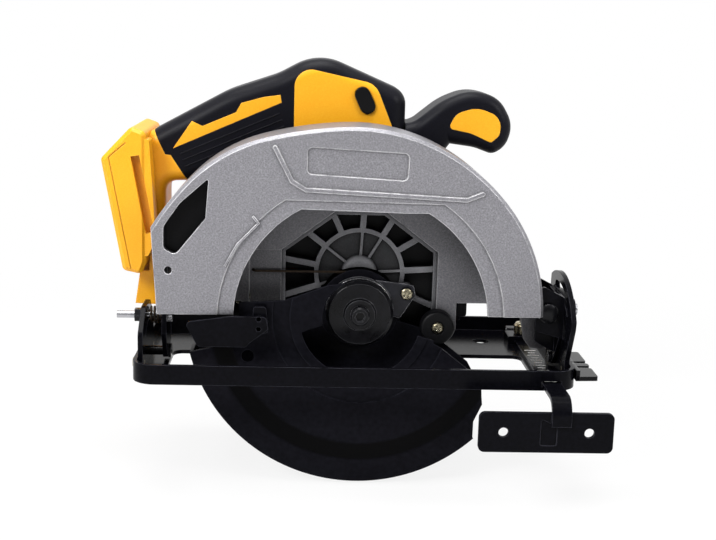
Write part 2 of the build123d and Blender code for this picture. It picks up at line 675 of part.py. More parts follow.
def guard_spring():
    """Torsion spring round the bearing boss with a long straight leg hooked in the far wall."""
    edges, start, way, _, _ = coil_edges(guard_spring_point, SPRING_TURNS)
    bend = 2.0
    hook_top = start - way * (-SPRING_END_X)
    corner = start - way * (-SPRING_END_X - bend)
    tail = Vector(hook_top.X, hook_top.Y + bend, hook_top.Z)
    tip = Vector(hook_top.X, hook_top.Y + bend + 1.2, hook_top.Z)
    lead = [Line(tip, tail), TangentArc(tail, corner, tangent=(0, -1, 0))]
    lead.append(Line(corner, start))
    print("guard spring least gap", round(least_gap(guard_spring_point, SPRING_TURNS, SPRING_WIRE), 2))
    return wire_tube(lead + edges, tip, Vector(0, -1, 0), SPRING_WIRE)


def lower_guard():
    """Swinging guard: far plate with hub, outer rim and a dished near plate with its front nose."""
    hub_r = BOSS_R + HUB_WALL
    section = face((hub_r - 0.5, GUARD_HALF), (GUARD_R, GUARD_HALF), (GUARD_R, -GUARD_HALF),
                   (DISH_OUT, -GUARD_HALF), (DISH_IN, -DISH_Y), (GUARD_MOUTH, -DISH_Y),
                   (GUARD_MOUTH, SKIN - DISH_Y), (DISH_IN - 0.6, SKIN - DISH_Y),
                   (DISH_OUT - 0.6, SKIN - GUARD_HALF), (GUARD_R - SKIN, SKIN - GUARD_HALF),
                   (GUARD_R - SKIN, GUARD_HALF - SKIN), (hub_r - 0.5, GUARD_HALF - SKIN))
    body = turned(section, 193.5, 150)
    body -= slab(face(*NOSE, (120, ARBOR_Z - 65.6), (120, ARBOR_Z + 30), (38, ARBOR_Z + 30)), -20, 20)
    arm = face((-62, 14), (-62, 37), (-39, 38.4), (-17, 46.8), (-8, 48), (-8, 30), (-30, 22))
    arm -= disc(0, ARBOR_Z, ARM_R)
    body += slab(arm, -DISH_Y, SKIN - DISH_Y)
    body += rod(0, ARBOR_Z, hub_r, HUB_Y, HUB_Y + HUB_LEN)
    body -= rod(0, ARBOR_Z, BOSS_R + 0.05, HUB_Y - 1, HUB_Y + HUB_LEN + 1)
    body -= rod(*BUMPER, BUMPER_R + SLIP, 0, 12)
    finger = on_arbor(hub_r - 0.2, -57)
    body += rod(*finger, 0.8, HUB_Y + 1, SPRING_Y0 + SPRING_PITCH * SPRING_TURNS + 0.6)
    body -= rod(*on_arbor(61, 200), 3.2, -20, 0)
    return body - slab(disc(0, ARBOR_Z, 45) - disc(0, ARBOR_Z, 36), -DISH_Y, 0.8 - DISH_Y)


ARM_R = 19.5
HUB_Y = 6.6
HUB_LEN = 2.6
NOSE = ((38, ARBOR_Z - 13), (42, ARBOR_Z - 15), (58.9, ARBOR_Z - 28.2), (64.6, ARBOR_Z - 38.4),
        (65.5, ARBOR_Z - 46.8),
        (61.3, ARBOR_Z - 56.2), (61.2, ARBOR_Z - 65.6))


def guard_lever():
    """Thumb lever of the lower guard: a flat tab before the near wall with a bent foot."""
    y1 = LEVER_Y
    y0 = LEVER_Y - LEVER_T
    tab = soft_face(2, (-88.5, 29), (-65, 32.3), (-48, 32.3), (-46.5, 26),
                    (-55, 19.5), (-58, 16.5), (-82, 16.5))
    body = slab(tab, y0, y1)
    foot = soft_face(1.5, (-54.5, 22), (-54.5, 31.4), (-48, 31.4), (-46.5, 24))
    body += slab(foot, y1 - 0.6, -DISH_Y)
    root = soft_face(1.5, (-54.5, 22), (-54.5, 36.5), (-48, 36.5), (-46.5, 24))
    body += slab(root, NEAR_WALL_Y + 0.5, -DISH_Y)
    for z in (26, 31):
        body -= rod(-51.5, z, 1.2, y0, -DISH_Y)
    return body


def guard_bumper():
    """Rubber stop of the lower guard."""
    body = rod(*BUMPER, BUMPER_R, 2.5, FAR_WALL_Y)
    body = fillet(body.edges().filter_by(GeomType.CIRCLE).sort_by(Axis.Y)[0], 1.5)
    body -= rod(*BUMPER, 3.6, 2.5, 5.0)
    return body - rod(*BUMPER, 1.5 + FIT, 2.5, FAR_WALL_Y)


def bumper_screw():
    """Cross-head screw through the rubber stop."""
    return rod(*BUMPER, 2.9, 3.2, 5.0) + rod(*BUMPER, 1.5 - FIT, 5.0, CASE_Y)


def gear_case():
    """Dark ribbed gear case: cover with ring, spokes and ribs, spindle boss and gear chamber."""
    flange = window_outline(5.5) & face((-60, 12), (60, 12), (60, 100), (-60, 100))
    body = slab(flange, CASE_Y, CASE_Y + 4)
    body += slab(disc(0, MOTOR_Z, BARREL_R) + disc(0, ARBOR_Z, 19.5), CASE_Y, BARREL_Y)
    recess = window_outline(-2) & face((-60, 14), (60, 14), (60, 100), (-60, 100))
    floor_y = CASE_Y + RIB_DEPTH
    cover = window_outline(1) & face((-60, 13), (60, 13), (60, 100), (-60, 100))
    upper = face((-60, MOTOR_Z), (60, MOTOR_Z), (60, 100), (-60, 100))
    body += slab(cover, CASE_Y, floor_y + CASE_WALL)
    body += slab(cover & upper, CASE_Y, floor_y + DEEP_POCKET + POCKET_WALL)
    body -= slab(recess, CASE_Y, floor_y)
    core = disc(0, MOTOR_Z, RING_R)
    deep = (recess - core) & upper
    body -= slab(deep, floor_y, floor_y + DEEP_POCKET)
    body += slab(core & recess, CASE_Y + RING_FLOOR, floor_y)
    grid = core - disc(0, MOTOR_Z, RING_R - 2.2)
    stubs = None
    for k in range(RIB_COUNT):
        turn = Pos(0, MOTOR_Z) * Rot(0, 0, 87 + 360 * k / RIB_COUNT)
        stub = turn * Pos(RING_R + 19, 0) * Rectangle(40, OUTER_RIB)
        stubs = stub if stubs is None else stubs + stub
        if k % 2 == 0:
            grid += turn * Pos(RING_R / 2 + 2, 0) * Rectangle(RING_R - 6, 1.3)
    body += slab((grid + stubs) & recess, CASE_Y + 0.8, floor_y)
    body += slab(stubs & deep, floor_y - 0.1, floor_y + DEEP_POCKET)
    dome = rod(0, MOTOR_Z, 9.5, CASE_Y - 1.5, floor_y)
    body += fillet(dome.edges().filter_by(GeomType.CIRCLE).sort_by(Axis.Y)[0], 3.2)
    body -= rod(0, ARBOR_Z, BOSS_R + 4.2, CASE_Y - 2, floor_y)
    body += rod(0, ARBOR_Z, BOSS_R, BOSS_Y, floor_y)
    body -= rod(0, ARBOR_Z, BEARING_R + FIT, BOSS_Y, BOSS_Y + 0.5 + BEARING_W)
    body -= rod(0, ARBOR_Z, SPINDLE_R + 2, BOSS_Y, floor_y + CASE_WALL)
    chamber = disc(0, ARBOR_Z, MODULE * GEAR_TEETH / 2 + 2)
    chamber += disc(0, MOTOR_Z, MODULE * PINION_TEETH / 2 + 2.6)
    body -= slab(chamber, floor_y + CASE_WALL, BARREL_Y)
    tall = LOCK_HALF + SLIP
    body -= block(0, 60, LOCK_Y - SLIP / 2, LOCK_Y + LOCK_T + SLIP / 2, ARBOR_Z - tall, ARBOR_Z + tall)
    for x, z in RETAINER_SCREWS:
        body += rod(x, z, 4, RETAINER_Y + RETAINER_T, floor_y)
        body -= rod(x, z, 1.5, RETAINER_Y, floor_y)
    for x, z in CASE_SCREWS:
        body -= rod(x, z, 1.6, CASE_Y, CASE_Y + 4)
    for x, z in BARREL_SCREWS:
        body -= rod(x, z, 1.6, BARREL_Y - 9, BARREL_Y)
    return body


RING_R = 24.0
RING_FLOOR = 2.6
DEEP_POCKET = 3.5
POCKET_WALL = 1.2
OUTER_RIB = 3.0
RIB_COUNT = 13
LOCK_Y = CASE_Y + RIB_DEPTH + CASE_WALL + SLIP
LOCK_HALF = 11.0
RETAINER_Y = 4.9
RETAINER_T = 1.5
RETAINER_SCREWS = ((24.7, 39.3),)
BARREL_SCREW_R = BARREL_R - 7.0
BARREL_SCREWS = ((-BARREL_SCREW_R, MOTOR_Z), (BARREL_SCREW_R, MOTOR_Z), (0, MOTOR_Z + BARREL_SCREW_R))


def guard_retainer():
    """Retaining plate that keeps the lower guard's hub on the boss, clear of the guard's swing."""
    y0, y1 = RETAINER_Y, RETAINER_Y + RETAINER_T
    outline = soft_face(2, (3, 46.4), (22, 44.4), (28.5, 43.5), (29.5, 38), (21.5, 25.5), (14, 28))
    outline -= disc(0, ARBOR_Z, BOSS_R + 0.4)
    body = slab(outline, y0, y1)
    for x, z in RETAINER_SCREWS:
        body -= rod(x, z, 1.5 + FIT, y0, y1)
    return body


def retainer_screws():
    """Cross-head screw of the retaining plate."""
    screws = []
    for x, z in RETAINER_SCREWS:
        head = rod(x, z, 3.4, RETAINER_Y - 2.2, RETAINER_Y)
        head = chamfer(head.edges().filter_by(GeomType.CIRCLE).sort_by(Axis.Y)[0], 0.8)
        screws.append((head + rod(x, z, 1.5 - FIT, RETAINER_Y, RETAINER_Y + 11)).solid())
    return screws


def case_screws():
    """Screws that hold the gear case to the far wall, driven from the motor side into blind holes."""
    screws = []
    for x, z in CASE_SCREWS:
        head = rod(x, z, 3.2, CASE_Y + 4, CASE_Y + 6.2)
        screws.append((head + rod(x, z, 1.55, FAR_WALL_Y + FACE_LEFT, CASE_Y + 4)).solid())
    return screws


BUSH_Y = BARREL_Y + 0.5
BUSH_LEN = 7.0
GEAR_Y = LOCK_Y + LOCK_T + SLIP


def spindle():
    """Arbor shaft: flange seat, bearing seat, lock flats, gear seat and tail."""
    y_gear = GEAR_Y
    shaft = rod(0, ARBOR_Z, ARBOR_R, FLANGE_FACE + 1, BOSS_Y)
    shaft += rod(0, ARBOR_Z, SPINDLE_R, BOSS_Y, BOSS_Y + 0.5 + BEARING_W)
    shaft += rod(0, ARBOR_Z, SPINDLE_R + 1.4, BOSS_Y + 0.5 + BEARING_W, LOCK_Y - SLIP)
    flats = RegularPolygon(LOCK_FLATS / 2, 6, major_radius=False)
    shaft += slab(Pos(0, ARBOR_Z) * flats, LOCK_Y - SLIP, y_gear)
    shaft += rod(0, ARBOR_Z, ARBOR_R, y_gear, y_gear + GEAR_W + 0.6)
    shaft += rod(0, ARBOR_Z, TAIL_R, y_gear + GEAR_W + 0.6, BUSH_Y + BUSH_LEN)
    return shaft - rod(0, ARBOR_Z, 3.0 + FIT, FLANGE_FACE + 1, 3)


LOCK_FLATS = 11.0


def drive_gear():
    """Spur gear on the spindle with a lightened web."""
    outline = gear_outline(GEAR_TEETH, -PROFILE_SHIFT, 90 + 180 / GEAR_TEETH)
    body = slab(Pos(0, ARBOR_Z) * outline, GEAR_Y, GEAR_Y + GEAR_W)
    for k in range(6):
        body -= rod(*on_arbor(8.6, 60 * k), 1.8, GEAR_Y, GEAR_Y + GEAR_W)
    return body - rod(0, ARBOR_Z, ARBOR_R + FIT, GEAR_Y, GEAR_Y + GEAR_W)


PROFILE_SHIFT = 0.22


def motor_pinion():
    """Pinion pressed on the nose of the rotor shaft."""
    outline = Pos(0, MOTOR_Z) * gear_outline(PINION_TEETH, PROFILE_SHIFT, 270)
    body = slab(outline, GEAR_Y - 0.8, GEAR_Y + GEAR_W + 0.4)
    return body - rod(0, MOTOR_Z, NOSE_R + FIT, GEAR_Y - 1, GEAR_Y + GEAR_W + 1)


NOSE_R = 1.9
ROTOR_BEARING_Y = BARREL_Y + 1.0
STACK_Y = BARREL_Y + BARREL_WALL + 8
FAN_Y = STACK_Y + STACK + 4
END_BEARING_Y = BARREL_END - 2.0


def ring_bearing(z, r_in, r_out, y0, width):
    """Sealed ball bearing: one ring with a shallow seal groove on each face."""
    body = rod(0, z, r_out, y0, y0 + width) - rod(0, z, r_in, y0, y0 + width)
    groove_in, groove_out = r_in + (r_out - r_in) * 0.3, r_in + (r_out - r_in) * 0.7
    for y in (y0, y0 + width - 0.4):
        body -= rod(0, z, groove_out, y, y + 0.4) - rod(0, z, groove_in, y, y + 0.4)
    return body


def spindle_bush():
    """Bronze bush for the spindle tail."""
    y_end = BUSH_Y + BUSH_LEN
    return rod(0, ARBOR_Z, TAIL_R + 3, BUSH_Y, y_end) - rod(0, ARBOR_Z, TAIL_R + FIT, BUSH_Y, y_end)


def inner_flange():
    """Inner blade flange with its hub on the bearing."""
    body = rod(0, ARBOR_Z, FLANGE_R, 1.2, 4.4) + rod(0, ARBOR_Z, 8, 4.4, BOSS_Y + 0.4)
    body -= rod(0, ARBOR_Z, FLANGE_R - 4, 1.2, 2.0)
    body -= rod(0, ARBOR_Z, ARBOR_R + FIT, 0, BOSS_Y)
    return body - rod(0, ARBOR_Z, SPINDLE_R + FIT, BOSS_Y, BOSS_Y + 1)


def outer_flange():
    """Outer blade flange: a dished washer with a raised middle ring."""
    r = FLANGE_R
    section = face((ARBOR_R + FIT, -1.2), (r, -1.2), (r, -4.4), (r - 1.6, -6), (8.6, -6.6),
                   (7.8, FLANGE_FACE), (ARBOR_R + FIT, FLANGE_FACE))
    return turned(section, 0, 360)


def arbor_bolt():
    """Socket-head bolt that clamps the blade flanges."""
    tip = FLANGE_FACE - BOLT_HEAD
    head = rod(0, ARBOR_Z, 4.9, tip, FLANGE_FACE)
    head = chamfer(head.edges().filter_by(GeomType.CIRCLE).sort_by(Axis.Y)[0], 0.8)
    head -= slab(Pos(0, ARBOR_Z) * RegularPolygon(2.7, 6), tip, tip + 2.6)
    return head + rod(0, ARBOR_Z, 3.0, FLANGE_FACE, 2.8)


def spindle_lock():
    """Sliding lock plate: a keyhole over the spindle flats and a push pad at the front."""
    x_out = WINDOW_HALF + 5.5 + 9
    half = LOCK_HALF - 0.4
    outline = disc(0, ARBOR_Z, half)
    low, high = ARBOR_Z - half, ARBOR_Z + half
    outline += face((0, low), (x_out, low + 2), (x_out, high - 2), (0, high))
    outline -= disc(0, ARBOR_Z, LOCK_SLOT_R)
    half = LOCK_FLATS / 2 + 0.15
    reach = LOCK_TRAVEL + LOCK_FLATS / sqrt(3) + 0.4
    outline -= face((0, ARBOR_Z - half), (reach, ARBOR_Z - half), (reach, ARBOR_Z + half),
                    (0, ARBOR_Z + half))
    body = slab(outline, LOCK_Y, LOCK_Y + LOCK_T)
    pad = block(x_out - 2, x_out + 3, LOCK_Y - 3, LOCK_Y + LOCK_T + 3, ARBOR_Z - 6, ARBOR_Z + 6)
    return body + fillet(pad.edges().filter_by(Axis.Y), 1.5)


LOCK_TRAVEL = 4.0
LOCK_SLOT_R = 7.7


def motor_rotor():
    """Rotor: stepped shaft with a laminated core that has shallow flutes."""
    shaft = rod(0, MOTOR_Z, NOSE_R, GEAR_Y - 0.8, ROTOR_BEARING_Y)
    shaft += rod(0, MOTOR_Z, 3.0, ROTOR_BEARING_Y, ROTOR_BEARING_Y + ROTOR_BEARING_W)
    shaft += rod(0, MOTOR_Z, SHAFT_R, ROTOR_BEARING_Y + ROTOR_BEARING_W, END_BEARING_Y)
    shaft += rod(0, MOTOR_Z, 3.0, END_BEARING_Y, END_BEARING_Y + ROTOR_BEARING_W + 1)
    core = rod(0, MOTOR_Z, CORE_R, STACK_Y, STACK_Y + STACK)
    for k in range(6):
        a = 2 * pi * k / 6
        core -= rod(CORE_R * cos(a), MOTOR_Z + CORE_R * sin(a), 1.6, STACK_Y, STACK_Y + STACK)
    return shaft + core


def motor_stator():
    """Wound stator ring with twelve slots."""
    outer = BARREL_R - BARREL_SKIN - FIT
    inner = CORE_R + AIR_GAP
    ring = disc(0, MOTOR_Z, outer) - disc(0, MOTOR_Z, inner)
    for k in range(6):
        turn = 30 + 60 * k
        ring -= Pos(0, MOTOR_Z) * Rot(0, 0, turn) * Pos(inner + 1.6, 0) * Rectangle(7.2, 4)
    return slab(ring, STACK_Y, STACK_Y + STACK)


def cooling_fan():
    """Radial cooling fan behind the rotor."""
    r = BARREL_R - BARREL_SKIN - 2.2
    body = rod(0, MOTOR_Z, r, FAN_Y, FAN_Y + 1.6) + rod(0, MOTOR_Z, 8, FAN_Y, FAN_Y + 8)
    for k in range(9):
        blade = Pos(0, MOTOR_Z) * Rot(0, 0, 40 * k) * Pos(18, 4) * Rot(0, 0, 22) * Rectangle(19, 1.4)
        body += slab(blade & disc(0, MOTOR_Z, r), FAN_Y + 1.6, FAN_Y + 8)
    return body - rod(0, MOTOR_Z, SHAFT_R + FIT, FAN_Y - 1, FAN_Y + 9)


def motor_housing():
    """Motor barrel: front wall with bearing seats, ribs outside."""
    body = rod(0, MOTOR_Z, BARREL_R, BARREL_Y, BARREL_END)
    body += slab(disc(0, ARBOR_Z, 12), BARREL_Y, BARREL_Y + BARREL_WALL)
    body -= rod(0, MOTOR_Z, BARREL_R - BARREL_SKIN, BARREL_Y + BARREL_WALL, BARREL_END)
    body -= rod(0, MOTOR_Z, ROTOR_BEARING_R + FIT, BARREL_Y, ROTOR_BEARING_Y + ROTOR_BEARING_W)
    body -= rod(0, MOTOR_Z, SHAFT_R + 1.5, BARREL_Y, BARREL_Y + BARREL_WALL)
    body -= rod(0, ARBOR_Z, TAIL_R + 3 + FIT, BARREL_Y, BUSH_Y + BUSH_LEN)
    for x, z in BARREL_SCREWS:
        body -= rod(x, z, 1.6, BARREL_Y, BARREL_Y + BARREL_WALL)
    for k in range(8):
        a = radians(195 + 22 * k)
        foot = Pos(BARREL_R * cos(a), MOTOR_Z + BARREL_R * sin(a))
        rib = foot * Rot(0, 0, degrees(a)) * Rectangle(2.4, 2.2)
        body += slab(rib, HANDLE_Y + GRIP_HALF + 6, BARREL_END - 6)
    return body


def barrel_screws():
    """Screws that hold the barrel to the gear case, driven from inside the barrel."""
    screws = []
    for x, z in BARREL_SCREWS:
        shank = rod(x, z, 1.55, BARREL_Y - 8.5, BARREL_Y + BARREL_WALL)
        screws.append((shank + rod(x, z, 2.4, BARREL_Y + BARREL_WALL, BARREL_Y + BARREL_WALL + 2)).solid())
    return screws


def motor_end_cap():
    """End cap of the motor with the rear bearing seat and vent slots."""
    body = rod(0, MOTOR_Z, BARREL_R, BARREL_END, CAP_END)
    body = fillet(body.edges().filter_by(GeomType.CIRCLE).sort_by(Axis.Y)[-1], 5)
    body -= rod(0, MOTOR_Z, BARREL_R - BARREL_SKIN - 1, BARREL_END, CAP_END - 3)
    body += rod(0, MOTOR_Z, ROTOR_BEARING_R + 2.5, BARREL_END, CAP_END - 3)
    body -= rod(0, MOTOR_Z, ROTOR_BEARING_R + FIT, BARREL_END - 1, END_BEARING_Y + ROTOR_BEARING_W)
    body -= rod(0, MOTOR_Z, 4.2, BARREL_END, CAP_END - 5)
    for k in range(12):
        a = radians(30 * k)
        cut = Pos(20 * cos(a), MOTOR_Z + 20 * sin(a)) * Rot(0, 0, 30 * k) * SlotOverall(12, 3)
        body -= slab(cut, CAP_END - 3, CAP_END)
    return body


GRIP_TOP = ((22.8, 142.6), (-23.7, 162.1), (-45, 150.5), (-71, 141.5), (FOOT_X, 118.8))
GRIP_TOP_R = (9.5, 28, 40, 60, 0)
FINGER_GAP = ((-103.5, 93), (-91, 93.5), (-52, 108.5), (-40, 106), (-39, 76), (-48, 58), (-84, 50),
              (-98, 54), (-103.5, 66))


def handle_outline():
    """Side outline of the D-handle with its finger gap, arm and motor saddle."""
    low = ((FOOT_X, 45), (FOOT_X - 5, 44.8), (FOOT_X - 7.6, 27), (-40, 24), (-28, 14.5), (22.8, 30))
    outline = make_face(FilletPolyline(*GRIP_TOP, *low, radius=GRIP_TOP_R + (0,) * len(low), close=True))
    return outline - soft_face(6, *FINGER_GAP)


def handle_solid(inset):
    """The whole handle with rounded grip edges, before it is split into shells, drawn in by an inset."""
    outline = offset(handle_outline(), -inset) if inset else handle_outline()
    body = slab(outline, HANDLE_Y - GRIP_HALF + inset, HANDLE_Y + GRIP_HALF - inset)
    for pick, radius in ((on_grip_top, GRIP_ROUND), (on_finger_gap, GAP_ROUND)):
        side = body.edges().group_by(Axis.Y)
        body = fillet(ShapeList(side[0] + side[-1]).filter_by(pick), radius - inset)
    return body


def on_grip_top(edge):
    """Whether an edge lies along the top of the grip."""
    middle = edge.center()
    return middle.Z > 125 and abs(middle.X - FOOT_X) > 1


def on_finger_gap(edge):
    """Whether an edge lies round the finger gap."""
    middle = edge.center()
    return FOOT_X + 6 < middle.X < -36 and 46 < middle.Z < 115


STRIPE = ((-99.4, 110.7), (-89.6, 125.3), (-84, 122.8), (-66.5, 130.4), (-63.8, 135.3), (-52, 138.7),
          (-43.4, 140), (-42.7, 136))
PANEL = ((-36.1, 100), (-36.1, 155.5), (6.5, 146.8), (26, 100))


def grip_region():
    """Side outline of the rubber: the grip behind, above and before the panel and round the stripe."""
    rear = ((-113, 127), (-106.9, 114.4), (-103.5, 107.5), (-100.6, 107.1), (-88, 88))
    region = face(*rear, (-30, 112), (26, 112), (26, 165), (-60, 165))
    panel = make_face(FilletPolyline(*PANEL, radius=(0, 9, 10, 0), close=True))
    return region - panel - face(*STRIPE)


def split_handle():
    """Shells and rubber overmoulds of the handle, near and far."""
    whole = handle_solid(0)
    core = handle_solid(RUBBER)
    rubber_zone = slab(grip_region(), HANDLE_Y - GRIP_HALF - 1, HANDLE_Y + GRIP_HALF + 1)
    rubber = (whole - core) & rubber_zone
    shell = whole - rubber
    for cut in handle_cuts():
        shell -= cut
        rubber -= cut
    near = block(-200, 200, HANDLE_Y - 60, HANDLE_Y, -50, 250)
    far = block(-200, 200, HANDLE_Y, HANDLE_Y + 60, -50, 250)
    return shell & near, shell & far, rubber & near, rubber & far


def handle_cuts():
    """Everything that is hollow in the handle: motor saddle, trigger, switch, button and screws."""
    yield rod(0, MOTOR_Z, BARREL_R + 0.1, 0, 120)
    yield rod(0, ARBOR_Z, 19.8, 0, BARREL_Y + BARREL_WALL + 0.2)
    yield block(-60, 60, 0, BARREL_Y + BARREL_WALL, -10, MOTOR_Z)
    half = TRIGGER_HALF + SLIP
    yield slab(face((-58, 96), (-28.5, 100), (-28.5, 124), (-54, 124)), HANDLE_Y - half, HANDLE_Y + half)
    yield rod(*TRIGGER_PIN, 2 + FIT, HANDLE_Y - 12, HANDLE_Y + 12)
    yield block(-57, -29, HANDLE_Y - 10.1, HANDLE_Y + 10.1, 124, 140.1)
    yield slab(lock_off_outline(0.2), 0, 100)
    for x, z in HANDLE_SCREWS:
        yield rod(x, z, 1.6, HANDLE_Y - 12, HANDLE_Y + GRIP_HALF)
        yield rod(x, z, 3.4, HANDLE_Y + 10, HANDLE_Y + GRIP_HALF + 1)


HANDLE_SCREWS = ((-104, 104), (-104, 44), (-60, 38), (-74, 122), (-12, 100), (12, 98))


def handle_screws():
    """Screws that clamp the two handle shells together, driven from the far side."""
    screws = []
    for x, z in HANDLE_SCREWS:
        shank = rod(x, z, 1.55, HANDLE_Y - 11.5, HANDLE_Y + 10)
        screws.append((shank + rod(x, z, 3.2, HANDLE_Y + 10, HANDLE_Y + 12.4)).solid())
    return screws


def lock_off_outline(grow):
    """Oval of the lock-off button, leaning with the panel."""
    return Pos(*LOCK_OFF) * Rot(0, 0, 25) * SlotOverall(14.4 + 2 * grow, 7.8 + 2 * grow, rotation=90)


def lock_off_button():
    """Lock-off button that slides across the handle."""
    return slab(lock_off_outline(0), HANDLE_Y - GRIP_HALF - 1.5, HANDLE_Y + GRIP_HALF - 3)


def trigger():
    """Switch trigger: a curved finger pad on a pin at its upper front end."""
    pad = Spline((-51.5, 109.5), (-46, 103.5), (-38.5, 101.5), (-33.2, 101.8))
    rest = Polyline((-33.2, 101.8), (-29.8, 108), (-29.8, 120.5), (-36, 122), (-51.5, 122), (-51.5, 109.5))
    body = slab(make_face(pad + rest), HANDLE_Y - TRIGGER_HALF, HANDLE_Y + TRIGGER_HALF)
    return body - rod(*TRIGGER_PIN, 2 + FIT, 0, 100)


def trigger_pin():
    """Hinge pin of the trigger."""
    return rod(*TRIGGER_PIN, 2, HANDLE_Y - 12, HANDLE_Y + 12)


def power_switch():
    """Switch body above the trigger with its plunger seat and two tabs."""
    body = block(-57, -29, HANDLE_Y - 10, HANDLE_Y + 10, 126.4, 140)
    for x in (-52, -36):
        body += block(x - 2, x + 2, HANDLE_Y - 3, HANDLE_Y + 3, 125.4, 126.4)
    return body


FRONT_TOP = ((22.9, 126.5), (27.5, 127.2), (42, 139), (56.5, 145), (72.4, 141.4), (80.6, 127), (77, 115.4),
             (70, 111), (60, 114.6), (47, 116.2), (38, 104), (22.9, 92))
FRONT_TOP_R = (0, 12, 40, 23, 16, 15, 12, 6, 28, 0, 0, 0)
FRONT_ROUND = 6.0


def front_outline():
    """Side outline of the auxiliary handle."""
    return make_face(FilletPolyline(*FRONT_TOP, radius=FRONT_TOP_R, close=True))


def inlay_outline():
    """Side outline of the inlay of the auxiliary handle."""
    corners = ((45.4, 124.6), (49.4, 132.6), (60.5, 136), (73.6, 131), (72.8, 121.5), (68.4, 117.6),
               (57.5, 122.3))
    return make_face(FilletPolyline(*corners, radius=(2, 8, 15, 8, 4.5, 1.6, 16), close=True))


def on_front_rim(edge):
    """Whether an edge lies on the free outline of the auxiliary handle."""
    middle = edge.center()
    return middle.X > 28 and middle.Z > 108


def front_handle():
    """Auxiliary handle before the main grip, with a pocket for the inlay on each side."""
    body = slab(front_outline(), HANDLE_Y - GRIP_HALF, HANDLE_Y + GRIP_HALF)
    side = body.edges().group_by(Axis.Y)
    body = fillet(ShapeList(side[0] + side[-1]).filter_by(on_front_rim), FRONT_ROUND)
    for y in (HANDLE_Y - GRIP_HALF, HANDLE_Y + GRIP_HALF - INLAY_T):
        body -= slab(offset(inlay_outline(), 0.1), y, y + INLAY_T)
    return body - rod(0, MOTOR_Z, BARREL_R + 0.1, 0, 120)


INLAY_T = 1.4


def front_inlays():
    """Inlays on both sides of the auxiliary handle."""
    near = slab(inlay_outline(), HANDLE_Y - GRIP_HALF, HANDLE_Y - GRIP_HALF + INLAY_T)
    far = slab(inlay_outline(), HANDLE_Y + GRIP_HALF - INLAY_T, HANDLE_Y + GRIP_HALF)
    return [near.solid(), far.solid()]


FOOT_REAR = ((-135.2, 106), (-124.3, 47.5))
CHEEK_GAP = 0.3
SCORE_DEPTH = 0.4


def battery_foot():
    """Battery foot: a leaning block, a cheek and guide groove each side, a terminal pocket."""
    outline = soft_face(3, (FOOT_X, 120), (-119.5, 122.7), FOOT_REAR[0], FOOT_REAR[1], (-114.5, 45.4),
                        (FOOT_X, 52))
    y0, y1 = HANDLE_Y - FOOT_HALF, HANDLE_Y + FOOT_HALF
    body = slab(outline, y0, y1)
    rims = body.edges().group_by(Axis.Y)
    body = chamfer(ShapeList(rims[0] + rims[-1]).filter_by(lambda e: e.center().X < -113), 2)
    cheek = soft_face(1.5, (-117, 117.5), (-110.3, 116), (-106.9, 64), (-111, 55), (-117, 55))
    shell_y = GRIP_HALF + CHEEK_GAP
    body += slab(cheek, y0 + 1.2, HANDLE_Y - shell_y) + slab(cheek, HANDLE_Y + shell_y, y1 - 1.2)
    turn = Rot(0, 0, -degrees(foot_lean()))
    for side in (y0, y1 - GROOVE_DEPTH):
        groove = Pos(*GROOVE) * turn * Rectangle(GROOVE_W, GROOVE_LEN)
        body -= slab(groove, side, side + GROOVE_DEPTH)
    score = band(0.6, (-122.4, 114.3), (-130.9, 106.9), (-119.9, 48.9))
    for side in (y0, y1 - SCORE_DEPTH):
        body -= slab(score, side, side + SCORE_DEPTH)
    pocket = Pos(-130.1, 76.8) * turn * Rectangle(14, 44)
    return body - slab(pocket, HANDLE_Y - 20, HANDLE_Y + 20)


def foot_lean():
    """Angle by which the rear face of the foot leans back."""
    return atan2(FOOT_REAR[0][0] - FOOT_REAR[1][0], FOOT_REAR[0][1] - FOOT_REAR[1][1])


GROOVE = (-113.7, 87.6)
GROOVE_W = 4.5
GROOVE_LEN = 41.0
GROOVE_DEPTH = 5.0


def terminal_block():
    """Terminal block of the battery foot with four blades."""
    turn = Rot(0, 0, -degrees(foot_lean()))
    body = slab(Pos(-125.4, 77.6) * turn * Rectangle(4, 40), HANDLE_Y - 18, HANDLE_Y + 18)
    for k in range(4):
        y = HANDLE_Y - 12 + 8 * k
        body += slab(Pos(-128.2, 78) * turn * Rectangle(4, 22), y - 0.5, y + 0.5)
    return body


DEPTH_LEVER_Y = GUIDE_Y + GUIDE_T + 0.2


def depth_stud():
    """Stud of the depth clamp, its base pressed into a blind hole of the far wall."""
    x, z = depth_polar(DEPTH_GUIDE_R, 0)
    base = rod(x, z, STUD_BASE_R, FAR_WALL_Y + FACE_LEFT, CASE_Y)
    return base + rod(x, z, DEPTH_STUD_R, CASE_Y, DEPTH_LEVER_Y + 7)


def depth_lever():
    """Depth clamp lever, lying along the guide towards the rear."""
    x, z = depth_polar(DEPTH_GUIDE_R, 0)
    hub = rod(x, z, 7, DEPTH_LEVER_Y, DEPTH_LEVER_Y + 6.5)
    arm = soft_face(2, (x + 2, z + 5.5), (x - 36, z - 8), (x - 38, z - 16), (x - 30, z - 17),
                    (x + 4, z - 5))
    lever = hub + slab(arm, DEPTH_LEVER_Y + 1, DEPTH_LEVER_Y + 5.5)
    return lever - rod(x, z, DEPTH_STUD_R + FIT, DEPTH_LEVER_Y - 1, DEPTH_LEVER_Y + 8)


def depth_bolt():
    """Hinge bolt of the depth setting with a domed head on the near side and a nut beyond."""
    head = rod(DEPTH_X, DEPTH_Z, 4.6, -18.9, -17.1)
    head = fillet(head.edges().filter_by(GeomType.CIRCLE).sort_by(Axis.Y)[0], 1.0)
    nut = slab(Pos(DEPTH_X, DEPTH_Z) * RegularPolygon(7, 6), 17.1, 21.5)
    return head + rod(DEPTH_X, DEPTH_Z, DEPTH_BOLT_R, -17.1, 17.1) + nut


